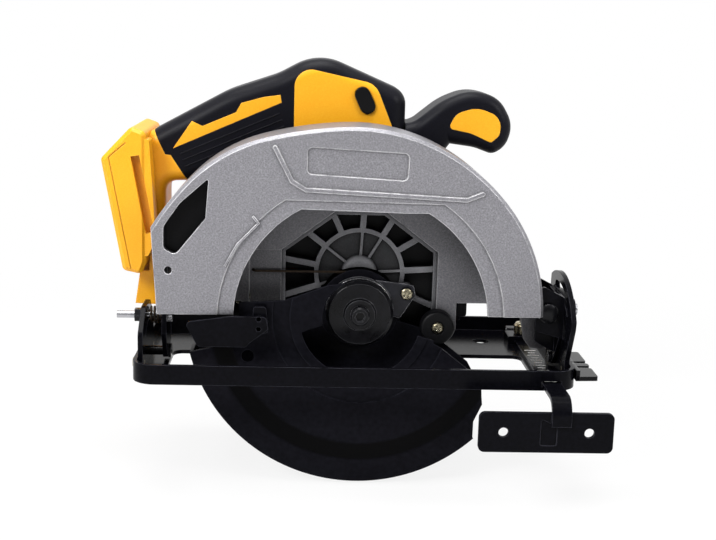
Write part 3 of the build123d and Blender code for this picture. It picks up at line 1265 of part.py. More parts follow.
os.makedirs("parts", exist_ok=True)
save("base_plate", base_plate(), STEEL)
save("bevel_quadrant", bevel_quadrant(), STEEL)
save("rear_bracket", rear_bracket(), STEEL)
save("shoe_rivets", shoe_rivets(), ZINC)
save("sight_guide", sight_guide(), PLASTIC)
save("fence_guide", fence_guide(), STEEL)
save("fence_clamp_screw", fence_clamp_screw(), ZINC)
save("rip_fence", rip_fence(), STEEL)
save("front_tilt_bracket", front_tilt_bracket(), STEEL)
save("bevel_pins", bevel_pins(), ZINC)
save("bevel_stud", bevel_stud(), ZINC)
save("bevel_lever", bevel_lever(), STEEL)
save("rear_stud", rear_stud(), ZINC)
save("rear_nut", rear_nut(), ZINC)
save("rear_spring", rear_spring(), BRIGHT)
save("depth_guide", depth_guide(), STEEL)
save("upper_guard", upper_guard(), CAST)
save("dust_chute", dust_chute(), PLASTIC)
save("guard_spring", guard_spring(), BRIGHT)
save("lower_guard", lower_guard(), STEEL)
save("guard_lever", guard_lever(), STEEL)
save("guard_bumper", guard_bumper(), RUBBER_BLACK)
save("bumper_screw", bumper_screw(), ZINC)
save("gear_case", gear_case(), PLASTIC)
save("guard_retainer", guard_retainer(), BRIGHT)
save("retainer_screws", retainer_screws(), ZINC)
save("case_screws", case_screws(), ZINC)
save("spindle", spindle(), BRIGHT)
save("drive_gear", drive_gear(), BRIGHT)
save("motor_pinion", motor_pinion(), BRIGHT)
save("spindle_bearing", ring_bearing(ARBOR_Z, SPINDLE_R + FIT, BEARING_R, BOSS_Y + 0.5, BEARING_W), BRIGHT)
save("spindle_bush", spindle_bush(), BRASS)
save("inner_flange", inner_flange(), BRIGHT)
save("outer_flange", outer_flange(), STEEL)
save("arbor_bolt", arbor_bolt(), STEEL)
save("spindle_lock", spindle_lock(), STEEL)
save("motor_rotor", motor_rotor(), BRIGHT)
save("motor_stator", motor_stator(), COPPER)
save("cooling_fan", cooling_fan(), PLASTIC)
for name, y in (("front_rotor_bearing", ROTOR_BEARING_Y), ("rear_rotor_bearing", END_BEARING_Y)):
    save(name, ring_bearing(MOTOR_Z, 3.0 + FIT, ROTOR_BEARING_R, y, ROTOR_BEARING_W), BRIGHT)
save("motor_housing", motor_housing(), YELLOW)
save("barrel_screws", barrel_screws(), ZINC)
save("motor_end_cap", motor_end_cap(), PLASTIC)
shells = split_handle()
for shell_name, shell, colour in zip(("handle_near", "handle_far", "grip_near", "grip_far"), shells,
                                     (YELLOW, YELLOW, RUBBER_BLACK, RUBBER_BLACK)):
    save(shell_name, shell, colour)
save("handle_screws", handle_screws(), ZINC)
save("lock_off_button", lock_off_button(), PLASTIC)
save("trigger", trigger(), PLASTIC)
save("trigger_pin", trigger_pin(), BRIGHT)
save("power_switch", power_switch(), PLASTIC)
save("front_handle", front_handle(), RUBBER_BLACK)
save("front_inlays", front_inlays(), YELLOW)
save("battery_foot", battery_foot(), YELLOW)
save("terminal_block", terminal_block(), PLASTIC)
save("depth_stud", depth_stud(), ZINC)
save("depth_lever", depth_lever(), STEEL)
save("depth_bolt", depth_bolt(), ZINC)
print(len(SAVED), "nodes written")
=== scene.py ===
"""Looks of a cordless circular saw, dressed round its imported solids."""
import logging
from dataclasses import dataclass, field
from enum import Enum
from math import cos, pi, radians, sin

import bmesh
import bpy
from mathutils import Matrix, Vector


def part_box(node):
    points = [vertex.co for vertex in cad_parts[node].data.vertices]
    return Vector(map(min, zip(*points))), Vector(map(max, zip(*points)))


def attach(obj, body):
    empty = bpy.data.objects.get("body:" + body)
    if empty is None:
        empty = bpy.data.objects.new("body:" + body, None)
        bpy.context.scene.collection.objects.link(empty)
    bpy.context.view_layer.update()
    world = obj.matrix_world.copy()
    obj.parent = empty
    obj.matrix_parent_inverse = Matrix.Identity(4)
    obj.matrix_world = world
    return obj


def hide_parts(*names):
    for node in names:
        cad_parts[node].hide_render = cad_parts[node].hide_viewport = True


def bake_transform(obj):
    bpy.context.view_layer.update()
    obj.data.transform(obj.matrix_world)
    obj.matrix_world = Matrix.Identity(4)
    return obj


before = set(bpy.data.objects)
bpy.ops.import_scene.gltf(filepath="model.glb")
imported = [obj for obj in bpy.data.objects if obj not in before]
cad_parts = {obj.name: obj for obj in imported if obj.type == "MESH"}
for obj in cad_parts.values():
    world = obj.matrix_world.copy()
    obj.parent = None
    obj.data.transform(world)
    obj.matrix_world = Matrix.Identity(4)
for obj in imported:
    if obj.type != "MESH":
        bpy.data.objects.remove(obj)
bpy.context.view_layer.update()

Pair = tuple[float, float]
Triple = tuple[float, float, float]
Mesh = bpy.types.Mesh
Node = bpy.types.Node
Socket = bpy.types.NodeSocket
Tree = bpy.types.NodeTree

LOG = logging.getLogger("saw")
MM = 0.001

# Turns of a head that faces up, the near side and the far side
UPWARD: Triple = (0.0, 0.0, 0.0)
TO_NEAR: Triple = (pi / 2, 0.0, 0.0)
TO_FAR: Triple = (-pi / 2, 0.0, 0.0)

# Height of the middle of a painted mark and of a number over its face, in millimetres
MARK_LIFT = 0.03
FIGURE_LIFT = 0.04
# Size of the font for a figure of height one
FONT_SIZE = 1.4
# Least cosine at a corner of a band, which limits how far the corner reaches
MITRE_LEAST = 0.5

# Rays that the bevel and hollow nodes send at each point
SHADE_RAYS = 6
# Turned marks run round the Y axis, so across it the pattern is drawn out
TURNED_DRAW: Triple = (0.12, 1.0, 0.12)
# Size of a fleck in the pits of a grain, in grains
FLECK = 0.7
# Values that the fine and the broad noise seldom leave, spread over the two body colours
FINE_SPAN: Pair = (0.3, 0.65)
BROAD_SPAN: Pair = (0.4, 0.6)
# Near black of painted shade, and its largest share deep inside a piece
SHADE_BLACK = "050506"
SHADE_MOST = 0.97
# Openness at which a hollow gets all its painted shade and at which it gets none
OPEN_SPAN: Pair = (0.35, 0.95)
# Fade of the painted shade in a bend, in halves of its width
BEND_FADE: Pair = (0.7, 1.1)
# Size in millimetres of the breaks in an edge's colour, which is partly rubbed and partly painted
# highlight, and the noise at which it starts and is full
WEAR_AND_HIGHLIGHT_BREAK = 6.0
WEAR_AND_HIGHLIGHT_SPAN: Pair = (0.3, 0.5)


def linear(code: str) -> tuple[float, float, float, float]:
    """Turn an sRGB hex colour into linear light.

    Args:
        code: Six hex digits.

    Returns:
        Linear red, green, blue and an alpha of one.
    """
    parts = [int(code[k:k + 2], 16) / 255 for k in (0, 2, 4)]
    light = [c / 12.92 if c <= 0.04045 else ((c + 0.055) / 1.055) ** 2.4 for c in parts]
    return (*light, 1.0)


def per_mm(size: float) -> float:
    """Texture scale at which one cell of a pattern is the given size in millimetres."""
    return 1.0 / (size * MM)


def add(tree: Tree, kind: str, inputs: dict | None = None, **settings: object) -> Node:
    """Add one node with its settings, values and links.

    Args:
        tree: Tree that gets the node.
        kind: Node type.
        inputs: Value or source socket for each input, by name or number.
        settings: Properties of the node itself.

    Returns:
        The new node.
    """
    node = tree.nodes.new(kind)
    for key, value in settings.items():
        setattr(node, key, value)
    for key, value in (inputs or {}).items():
        if isinstance(value, Socket):
            tree.links.new(value, node.inputs[key])
        else:
            node.inputs[key].default_value = value
    return node


class Grain(Enum):
    """How the surface of a finish was formed.

    Sparked and blasted grains are about 0.2 mm in life and are drawn coarser, so that they show.
    """

    SPARKED = "moulded in a spark-eroded tool"
    PEELED = "powder or enamel with orange peel"
    BLASTED = "cast and shot blasted"
    TURNED = "machined round an axis"
    PLATED = "plated over rolled steel"


@dataclass(frozen=True)
class Finish:
    """One real surface: what it is made of and how it was made, with painted shade in its hollows
    and edges that are partly rubbed and partly painted highlight.

    Sizes are in millimetres and colours are sRGB hex values.

    Attributes:
        name: Name of the material.
        base: Darker colour of the body.
        tone: Lighter colour of the body.
        edge: Colour of edges, which are partly rubbed and partly painted highlight.
        grain: How the surface was formed.
        cell: Size of one grain.
        relief: Height of the grain.
        mottle: Size of the broad changes of tone.
        rough: Least and most roughness.
        metal: Share of metal.
        gloss: Specular level.
        hollow_shade: Share of painted shade, a near black, where walls shut a hollow in.
        hollow: Reach within which walls shut a hollow in.
        blotch: Weight of the broad changes of tone against the grain.
        worn: Share of the edge colour, rubbing and painted highlight, on a sharp edge.
        band: Cosines of the turn over an edge at which the edge colour starts and is full.
        round_over: Radius that sharp edges seem to have.
        sheen: Weight of the sheen.
        deep: Y at which painted shade starts to darken a piece and at which it is black.
        bend: Height of the axis of a round bend that painted shade darkens, and its inner and
            outer radius.
    """

    name: str
    base: str
    tone: str
    edge: str
    grain: Grain
    cell: float
    relief: float
    mottle: float
    rough: Pair
    metal: float = 0.0
    gloss: float = 0.5
    hollow_shade: float = 0.0
    hollow: float = 6.0
    blotch: float = 0.4
    worn: float = 0.5
    band: Pair = (0.98, 0.8)
    round_over: float = 0.35
    sheen: float = 0.0
    deep: Pair | None = None
    bend: Triple | None = None

    def material(self) -> bpy.types.Material:
        """Make the material once and hand it out after that.

        Returns:
            The material of this finish.
        """
        known = bpy.data.materials.get(self.name)
        if known:
            return known
        made = bpy.data.materials.new(self.name)
        made.use_nodes = True
        tree = made.node_tree
        tree.nodes.clear()
        place = add(tree, "ShaderNodeTexCoord").outputs["Object"]
        fine = self.surface(tree, place)
        colour = self.colour(tree, place, fine)
        dull = add(tree, "ShaderNodeMapRange",
                   {"Value": fine, "To Min": self.rough[0], "To Max": self.rough[1]})
        soft = add(tree, "ShaderNodeBevel", {"Radius": self.round_over * MM}, samples=SHADE_RAYS)
        # Edge colour: partly rubbing, partly painted highlight
        worn = self.wear_and_highlight(tree, place, soft.outputs[0])
        shown = add(tree, "ShaderNodeMix", {0: worn, 6: colour, 7: linear(self.edge)},
                    data_type="RGBA")
        bump = add(tree, "ShaderNodeBump",
                   {"Height": fine, "Distance": self.relief * MM, "Strength": 1.0,
                    "Normal": soft.outputs[0]})
        # Base colour with painted shade in hollows, deep inside and in the bend
        shell = add(tree, "ShaderNodeBsdfPrincipled",
                    {"Base Color": self.paint_shade(tree, place, shown.outputs[2]),
                     "Roughness": dull.outputs[0], "Normal": bump.outputs[0],
                     "Metallic": self.metal, "Specular IOR Level": self.gloss,
                     "Sheen Weight": self.sheen})
        add(tree, "ShaderNodeOutputMaterial", {"Surface": shell.outputs[0]})
        return made

    def surface(self, tree: Tree, place: Socket) -> Socket:
        """Lay the fine grain of the surface.

        Args:
            tree: Tree of the material.
            place: Object coordinates.

        Returns:
            A grey pattern from nought to one, which is the height of the grain too.
        """
        scale = per_mm(self.cell)
        if self.grain in (Grain.BLASTED, Grain.SPARKED):
            pits = add(tree, "ShaderNodeTexVoronoi", {"Vector": place, "Scale": scale},
                       feature="SMOOTH_F1")
            fleck = add(tree, "ShaderNodeTexNoise",
                        {"Vector": place, "Scale": per_mm(self.cell * FLECK), "Detail": 3.0})
            both = add(tree, "ShaderNodeMix",
                       {0: 0.5, 2: pits.outputs["Distance"], 3: fleck.outputs[0]})
            return both.outputs[0]
        if self.grain is Grain.TURNED:
            drawn = add(tree, "ShaderNodeMapping", {"Vector": place, "Scale": TURNED_DRAW})
            place = drawn.outputs[0]
        noise = add(tree, "ShaderNodeTexNoise", {"Vector": place, "Scale": scale, "Detail": 2.0})
        return noise.outputs[0]

    def colour(self, tree: Tree, place: Socket, fine: Socket) -> Socket:
        """Vary the colour over the piece and within the grain.

        Args:
            tree: Tree of the material.
            place: Object coordinates.
            fine: Grey pattern of the grain.

        Returns:
            The colour before its edges get rubbing and painted highlight.
        """
        broad = add(tree, "ShaderNodeTexNoise",
                    {"Vector": place, "Scale": per_mm(self.mottle), "Detail": 4.0})
        share = add(tree, "ShaderNodeMath", {0: broad.outputs[0], 1: self.blotch, 2: fine},
                    operation="MULTIPLY_ADD")
        spread = add(tree, "ShaderNodeMapRange",
                     {"Value": share.outputs[0],
                      "From Min": FINE_SPAN[0] + BROAD_SPAN[0] * self.blotch,
                      "From Max": FINE_SPAN[1] + BROAD_SPAN[1] * self.blotch})
        mixed = add(tree, "ShaderNodeMix",
                    {0: spread.outputs[0], 6: linear(self.base), 7: linear(self.tone)},
                    data_type="RGBA")
        return mixed.outputs[2]

    def paint_shade(self, tree: Tree, place: Socket, colour: Socket) -> Socket:
        """Paint shade into the hollows, the deep inside and the bend, by darkening the colour
        there.

        Args:
            tree: Tree of the material.
            place: Object coordinates.
            colour: Colour before the painted shade.

        Returns:
            The colour with the painted shade in it.
        """
        # Painted shade, darker where nearby walls shut the surface in
        if self.hollow_shade:
            view = add(tree, "ShaderNodeAmbientOcclusion", {"Distance": self.hollow * MM},
                       samples=SHADE_RAYS)
            share = add(tree, "ShaderNodeMapRange",
                        {"Value": view.outputs["AO"], "From Min": OPEN_SPAN[0],
                         "From Max": OPEN_SPAN[1], "To Min": self.hollow_shade, "To Max": 0.0})
            colour = self.darken(tree, colour, share)
        # Painted shade that grows with depth along Y
        if self.deep:
            side = add(tree, "ShaderNodeSeparateXYZ", {0: place})
            share = add(tree, "ShaderNodeMapRange",
                        {"Value": side.outputs[1], "From Min": self.deep[0] * MM,
                         "From Max": self.deep[1] * MM, "To Max": SHADE_MOST})
            colour = self.darken(tree, colour, share)
        # Painted shade in the round bend
        if self.bend:
            colour = self.darken(tree, colour, self.ring(tree, place))
        return colour

    def ring(self, tree: Tree, place: Socket) -> Node:
        """Find the round bend of a pressed piece, where painted shade goes.

        Args:
            tree: Tree of the material.
            place: Object coordinates.

        Returns:
            A node that gives one between the bend's two radii and nought away from them.
        """
        axis_z, inner, outer = (size * MM for size in self.bend)
        middle, half = (inner + outer) / 2, (outer - inner) / 2
        spot = add(tree, "ShaderNodeVectorMath", {0: place, 1: (0.0, 0.0, -axis_z)},
                   operation="ADD")
        flat = add(tree, "ShaderNodeVectorMath", {0: spot.outputs[0], 1: (1.0, 0.0, 1.0)},
                   operation="MULTIPLY")
        reach = add(tree, "ShaderNodeVectorMath", {0: flat.outputs[0]}, operation="LENGTH")
        off = add(tree, "ShaderNodeMath", {0: reach.outputs["Value"], 1: middle},
                  operation="SUBTRACT")
        away = add(tree, "ShaderNodeMath", {0: off.outputs[0]}, operation="ABSOLUTE")
        return add(tree, "ShaderNodeMapRange",
                   {"Value": away.outputs[0], "From Min": half * BEND_FADE[0],
                    "From Max": half * BEND_FADE[1], "To Min": 1.0, "To Max": 0.0},
                   interpolation_type="SMOOTHSTEP")

    def darken(self, tree: Tree, colour: Socket, share: Node) -> Socket:
        """Mix a share of painted shade, a near black, into a colour."""
        return add(tree, "ShaderNodeMix", {0: share.outputs[0], 6: colour, 7: linear(SHADE_BLACK)},
                   data_type="RGBA").outputs[2]

    def wear_and_highlight(self, tree: Tree, place: Socket, soft: Socket) -> Socket:
        """Find the edges, whose colour stands partly for rubbing and partly for painted
        highlight.

        Args:
            tree: Tree of the material.
            place: Object coordinates.
            soft: Normal that is rounded over the edges.

        Returns:
            The share of the edge colour, nought away from edges.
        """
        flat = add(tree, "ShaderNodeNewGeometry").outputs["Normal"]
        turn = add(tree, "ShaderNodeVectorMath", {0: flat, 1: soft}, operation="DOT_PRODUCT")
        band = add(tree, "ShaderNodeMapRange",
                   {"Value": turn.outputs["Value"], "From Min": self.band[0],
                    "From Max": self.band[1], "To Max": self.worn})
        broken = add(tree, "ShaderNodeTexNoise",
                     {"Vector": place, "Scale": per_mm(WEAR_AND_HIGHLIGHT_BREAK), "Detail": 4.0})
        patch = add(tree, "ShaderNodeMapRange",
                    {"Value": broken.outputs[0], "From Min": WEAR_AND_HIGHLIGHT_SPAN[0],
                     "From Max": WEAR_AND_HIGHLIGHT_SPAN[1]})
        return add(tree, "ShaderNodeMath", {0: band.outputs[0], 1: patch.outputs[0]},
                   operation="MULTIPLY").outputs[0]


# Die-cast aluminium, shot blasted: even matt silver-grey, fine bright flecks, bright edges that
# are partly rubbed and partly painted highlight, painted shade in its hollows
CAST = Finish("shot_blasted_cast_aluminium", base="7b7a7f", tone="9f9ea3", edge="f2f1f4",
              grain=Grain.BLASTED, cell=0.7, relief=0.09, mottle=40.0, rough=(0.36, 0.55),
              metal=0.5, blotch=0.08, hollow_shade=0.65, hollow=95.0, worn=1.0, round_over=0.8,
              band=(0.995, 0.87))
# Black powder coat on pressed steel: deep satin black, slight orange peel, paler edges that are
# partly rubbed and partly painted highlight
POWDER = Finish("black_powder_coated_steel", base="060609", tone="0b0b10", edge="4a4a53",
                grain=Grain.PEELED, cell=1.8, relief=0.008, mottle=14.0, rough=(0.14, 0.24),
                gloss=0.055, worn=0.65, round_over=0.6)
# Black enamel of the swinging guard: a cold satin black, darkened in the bend by painted shade,
# with edges partly rubbed and partly painted highlight
ENAMEL = Finish("satin_black_enamel", base="0e0e12", tone="141419", edge="2c2c34",
                grain=Grain.PEELED, cell=2.4, relief=0.025, mottle=18.0, rough=(0.18, 0.28),
                gloss=0.02, worn=0.6, round_over=0.8, bend=(30.0, 66.5, 78.5))
# Yellow glass-filled nylon: warm body colour with a fine sandy grain, painted shade in its
# hollows, paler edges that are partly rubbed and partly painted highlight
YELLOW = Finish("yellow_moulded_nylon", base="f8a913", tone="fcb624", edge="ffd060",
                grain=Grain.SPARKED, cell=0.6, relief=0.02, mottle=16.0, rough=(0.34, 0.48),
                gloss=0.35, hollow_shade=0.3, hollow=5.0, worn=0.35, round_over=0.6)
# Charcoal rubber moulded over the grip: near black with a dull bluish sheen on top
TPE = Finish("charcoal_overmoulded_rubber", base="0a0a0f", tone="12121a", edge="30303a",
             grain=Grain.SPARKED, cell=0.7, relief=0.05, mottle=12.0, rough=(0.36, 0.48),
             gloss=0.1, worn=0.3, round_over=0.6, sheen=0.03)
# Dark glass-filled nylon of the gear case: grey rib tops, pale edges that are partly rubbed and
# partly painted highlight, painted shade that turns it black in the hollows and deep in the
# pockets
NYLON = Finish("dark_glass_filled_nylon", base="757578", tone="909094", edge="d0d0d4",
               grain=Grain.SPARKED, cell=0.5, relief=0.04, mottle=10.0, rough=(0.26, 0.4),
               gloss=0.07, hollow_shade=0.9, hollow=9.0, worn=0.9, deep=(13.9, 16.1))
# Black nylon of the button and the trigger, polished in the tool: deep black with small glints,
# partly real gloss and partly painted highlight on the edges
GLOSSY = Finish("polished_black_nylon", base="050506", tone="09090b", edge="2a2a2e",
                grain=Grain.SPARKED, cell=0.5, relief=0.01, mottle=10.0, rough=(0.08, 0.15),
                gloss=0.14, worn=0.7, round_over=0.9)
# Black glass-filled nylon of the chute, fan and motor cap: dull and deep
BLACK = Finish("black_glass_filled_nylon", base="050506", tone="0a0a0c", edge="2c2c30",
               grain=Grain.SPARKED, cell=0.6, relief=0.03, mottle=10.0, rough=(0.3, 0.42),
               gloss=0.1, worn=0.4)
# Black moulded rubber of the guard stop: soft and dull, with paler edges that are partly rubbed
# and partly painted highlight
RUBBER = Finish("black_moulded_rubber", base="08080a", tone="101013", edge="34343a",
                grain=Grain.SPARKED, cell=0.5, relief=0.05, mottle=8.0, rough=(0.4, 0.55),
                gloss=0.2, worn=0.5)
# Yellow-passivated zinc on steel fasteners: bright with a straw tint, darkened in the recess by
# painted shade
ZINC = Finish("passivated_zinc_plate", base="a79f88", tone="c4bb9e", edge="efe9d8",
              grain=Grain.PLATED, cell=1.2, relief=0.03, mottle=4.0, rough=(0.2, 0.34),
              metal=1.0, hollow_shade=1.0, hollow=2.2, worn=0.7)
# Bright turned steel of shafts and bearings: clear reflections in fine rings
STEEL = Finish("turned_bright_steel", base="a9a9ad", tone="c2c2c6", edge="dddde0",
               grain=Grain.TURNED, cell=0.3, relief=0.02, mottle=6.0, rough=(0.2, 0.34),
               metal=1.0)
# Phosphated steel sheet of the retaining plate: slate grey with bright edges that are partly
# rubbed and partly painted highlight
PHOSPHATE = Finish("phosphated_steel_sheet", base="15151a", tone="202027", edge="c0c0c6",
                   grain=Grain.PLATED, cell=2.2, relief=0.03, mottle=6.0, rough=(0.28, 0.42),
                   gloss=0.25, worn=1.0, round_over=0.6)
# Black-oxide steel of the flange, bolts and studs: dark with an oily gleam, and paler edges that
# are partly rubbed and partly painted highlight
OXIDE = Finish("black_oxide_steel", base="0a0a0c", tone="131316", edge="6a6a6e",
               grain=Grain.TURNED, cell=0.5, relief=0.03, mottle=7.0, rough=(0.16, 0.28),
               gloss=0.16, worn=0.9, round_over=0.6)
# Oil-tempered spring wire: dark brown with a dull shine
SPRING = Finish("oil_tempered_spring_wire", base="2b221a", tone="41352a", edge="6e6456",
                grain=Grain.PLATED, cell=0.8, relief=0.02, mottle=5.0, rough=(0.3, 0.45),
                metal=0.6)
# Lacquered copper of the winding: warm red-brown with a soft shine
COPPER = Finish("lacquered_copper_wire", base="9c4a22", tone="b8622f", edge="c98252",
                grain=Grain.TURNED, cell=0.6, relief=0.05, mottle=5.0, rough=(0.25, 0.4),
                metal=0.9)
# Sintered bronze of the tail bush: dull gold-brown, finely pitted
BRONZE = Finish("sintered_bronze", base="8a6a3a", tone="a17e48", edge="bb9c68",
                grain=Grain.BLASTED, cell=0.4, relief=0.05, mottle=4.0, rough=(0.4, 0.55),
                metal=0.9)
# White marking paint of the scales: flat off-white
PAINT = Finish("white_marking_paint", base="c9c9c6", tone="dcdcd8", edge="ececea",
               grain=Grain.PEELED, cell=0.8, relief=0.01, mottle=4.0, rough=(0.5, 0.65))


@dataclass
class Assembly:
    """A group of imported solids, with the finish that each of them wears."""

    worn: dict[Finish, tuple[str, ...]]

    def dress(self) -> None:
        """Give every solid of the group its finish."""
        for finish, names in self.worn.items():
            for name in names:
                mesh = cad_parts[name].data
                mesh.materials.clear()
                mesh.materials.append(finish.material())
            LOG.info("%s wears %s", ", ".join(names), finish.name)

    def build(self) -> None:
        """Add the pieces that only the eye needs; a plain group has none."""


def keep(name: str, mesh: Mesh, body: str | None) -> bpy.types.Object:
    """Put a finished mesh in the scene as a piece of a body.

    Args:
        name: Name of the piece.
        mesh: Its mesh, in metres in the frame of the part.
        body: Body that it rides on, or none where the piece spans two bodies and rides on
            neither.

    Returns:
        The piece.
    """
    piece = bpy.data.objects.new(name, mesh)
    mesh.name = name
    bpy.context.scene.collection.objects.link(piece)
    if body:
        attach(piece, body)
    LOG.info("piece %s on %s, %d faces", name, body or "two bodies", len(mesh.polygons))
    return piece


def settled(holder: bpy.types.Object) -> Mesh:
    """Turn a curve or a grown object into a plain mesh and take the object away.

    Args:
        holder: Object that isn't in the scene yet.

    Returns:
        Its mesh, with curves and modifiers worked out.
    """
    bpy.context.scene.collection.objects.link(holder)
    graph = bpy.context.evaluated_depsgraph_get()
    mesh = bpy.data.meshes.new_from_object(holder.evaluated_get(graph), depsgraph=graph)
    holder.modifiers.clear()
    bpy.data.objects.remove(holder)
    return mesh


def plate(corners: list[Triple], push: Triple, finish: Finish) -> Mesh:
    """Make a flat plate from its outline.

    Args:
        corners: Corners of the plate, in millimetres.
        push: Thickness and its direction, in millimetres.
        finish: Finish of the plate.

    Returns:
        A closed mesh with outward faces.
    """
    form = bmesh.new()
    low = [form.verts.new(Vector(c) * MM) for c in corners]
    high = [form.verts.new(v.co + Vector(push) * MM) for v in low]
    form.faces.new(low)
    form.faces.new(high)
    for k, here in enumerate(low):
        form.faces.new((low[k - 1], here, high[k], high[k - 1]))
    bmesh.ops.recalc_face_normals(form, faces=form.faces)
    mesh = bpy.data.meshes.new("plate")
    form.to_mesh(mesh)
    form.free()
    mesh.materials.append(finish.material())
    return mesh


def ribbon(points: tuple[Pair, ...], width: float) -> list[Pair]:
    """Outline of a band of even width along a bent line.

    Args:
        points: Corners of the middle line.
        width: Width of the band.

    Returns:
        Corners of the band, round both sides.
    """
    line = [Vector(p) for p in points]
    left, right = [], []
    for k, here in enumerate(line):
        before = (here - line[k - 1]).normalized() if k else (line[1] - here).normalized()
        after = (line[k + 1] - here).normalized() if k + 1 < len(line) else before
        way = (before + after).normalized()
        side = Vector((-way.y, way.x)) * (width / 2 / max(MITRE_LEAST, way.dot(before)))
        left.append(tuple(here + side))
        right.append(tuple(here - side))
    return left + right[::-1]


def wire(points: list[Triple], radius: float, finish: Finish) -> Mesh:
    """Make a round wire along a line of points.

    Args:
        points: Points of its middle line, in millimetres.
        radius: Radius of the wire, in millimetres.
        finish: Finish of the wire.

    Returns:
        A closed tube.
    """
    curve = bpy.data.curves.new("wire", "CURVE")
    curve.dimensions = "3D"
    curve.bevel_depth = radius * MM
    curve.bevel_resolution = 2
    curve.use_fill_caps = True
    spline = curve.splines.new("POLY")
    spline.points.add(len(points) - 1)
    for point, place in zip(spline.points, points):
        point.co = (*(Vector(place) * MM), 1.0)
    mesh = settled(bpy.data.objects.new("wire", curve))
    mesh.materials.clear()
    mesh.materials.append(finish.material())
    return mesh


def new_tree(name: str, sizes: dict[str, str]) -> tuple[Tree, Node, Node]:
    """Start a geometry tree with named inputs.

    Args:
        name: Name of the tree.
        sizes: Socket type of each named input.

    Returns:
        The tree, its input node and its output node.
    """
    tree = bpy.data.node_groups.new(name, "GeometryNodeTree")
    tree.interface.new_socket("Geometry", in_out="INPUT", socket_type="NodeSocketGeometry")
    for label, kind in sizes.items():
        tree.interface.new_socket(label, in_out="INPUT", socket_type=kind)
    tree.interface.new_socket("Geometry", in_out="OUTPUT", socket_type="NodeSocketGeometry")
    return tree, add(tree, "NodeGroupInput"), add(tree, "NodeGroupOutput")


def close_tree(tree: Tree, last: Node, start: Node, end: Node) -> None:
    """Make the instances real, give them the finish and end the tree.

    Args:
        tree: Tree to end.
        last: Node that gives the instances.
        start: Input node, with a material input named Finish.
        end: Output node.
    """
    real = add(tree, "GeometryNodeRealizeInstances", {0: last.outputs[0]})
    dressed = add(tree, "GeometryNodeSetMaterial",
                  {"Geometry": real.outputs[0], "Material": start.outputs["Finish"]})
    tree.links.new(dressed.outputs[0], end.inputs[0])


def grow(tree: Tree, places: list[Triple], sizes: dict[str, object]) -> Mesh:
    """Run a geometry tree on a few points and keep its result as a plain mesh.

    Args:
        tree: The tree.
        places: Points for its instances, in millimetres.
        sizes: Value of each named input.

    Returns:
        The finished mesh.
    """
    points = bpy.data.meshes.new("seed")
    points.from_pydata([Vector(p) * MM for p in places], [], [])
    seed = bpy.data.objects.new("seed", points)
    grower = seed.modifiers.new("grow", "NODES")
    grower.node_group = tree
    for item in tree.interface.items_tree:
        if item.in_out == "INPUT" and item.name in sizes:
            grower[item.identifier] = sizes[item.name]
    return settled(seed)


@dataclass(frozen=True)
class ScrewHeads:
    """Domed heads with a cross recess, or plain domes, set on the flat heads of the solids.

    Attributes:
        radius: Radius of a head.
        height: Height of its dome.
        recess: Width of the cross's bars in radii, nought for a plain dome.
        bar: Length of the bars in radii and their height in domes.
        turn: Turn of the cross, in radians.
        sides: Corners round a head.
        rings: Rings of the whole ball that the dome is half of.
    """

    radius: float
    height: float = 1.2
    recess: float = 0.36
    bar: Pair = (1.3, 1.7)
    turn: float = 0.5
    sides: int = 28
    rings: int = 14

    def tree(self) -> Tree:
        """Build the tree of domed heads on points.

        Returns:
            The tree, with the head's sizes as inputs.
        """
        tree, start, end = new_tree("screw_head", {
            "Radius": "NodeSocketFloat", "Height": "NodeSocketFloat", "Slot": "NodeSocketFloat",
            "Turn": "NodeSocketVector", "Finish": "NodeSocketMaterial"})
        radius, height = start.outputs["Radius"], start.outputs["Height"]
        ball = add(tree, "GeometryNodeMeshUVSphere",
                   {"Segments": self.sides, "Rings": self.rings, "Radius": radius})
        squat = add(tree, "ShaderNodeMath", {0: height, 1: radius}, operation="DIVIDE")
        scale = add(tree, "ShaderNodeCombineXYZ", {0: 1.0, 1: 1.0, 2: squat.outputs[0]})
        head = add(tree, "GeometryNodeTransform",
                   {"Geometry": ball.outputs[0], "Scale": scale.outputs[0]})
        if self.recess:
            head = self.crossed(tree, head, start)
        spots = add(tree, "GeometryNodeMeshToPoints", {"Mesh": start.outputs["Geometry"]})
        heads = add(tree, "GeometryNodeInstanceOnPoints",
                    {"Points": spots.outputs[0], "Instance": head.outputs[0],
                     "Rotation": start.outputs["Turn"]})
        close_tree(tree, heads, start, end)
        return tree

    def crossed(self, tree: Tree, head: Node, start: Node) -> Node:
        """Cut the two bars of the cross out of a dome.

        Args:
            tree: Tree of the head.
            head: Node that gives the dome.
            start: Input node of the tree.

        Returns:
            The node that gives the cut dome.
        """
        slot, height = start.outputs["Slot"], start.outputs["Height"]
        span = add(tree, "ShaderNodeMath", {0: start.outputs["Radius"], 1: self.bar[0]},
                   operation="MULTIPLY").outputs[0]
        depth = add(tree, "ShaderNodeMath", {0: height, 1: self.bar[1]},
                    operation="MULTIPLY").outputs[0]
        top = add(tree, "ShaderNodeCombineXYZ", {2: height})
        for long, wide in ((span, slot), (slot, span)):
            size = add(tree, "ShaderNodeCombineXYZ", {0: long, 1: wide, 2: depth})
            block = add(tree, "GeometryNodeMeshCube", {"Size": size.outputs[0]})
            bar = add(tree, "GeometryNodeTransform",
                      {"Geometry": block.outputs[0], "Translation": top.outputs[0],
                       "Rotation": (0.0, 0.0, self.turn)})
            head = add(tree, "GeometryNodeMeshBoolean", {0: head.outputs[0], 1: bar.outputs[0]},
                       operation="DIFFERENCE", solver="EXACT")
        return head

    def mesh(self, places: list[Triple], turn: Triple, finish: Finish) -> Mesh:
        """Make the heads as one mesh.

        Args:
            places: Middle of each head's foot.
            turn: Turn of the heads from facing up.
            finish: Finish of the heads.

        Returns:
            The mesh of all the heads.
        """
        return grow(self.tree(), places, {
            "Radius": self.radius * MM, "Height": self.height * MM, "Turn": turn,
            "Slot": self.radius * self.recess * MM, "Finish": finish.material()})


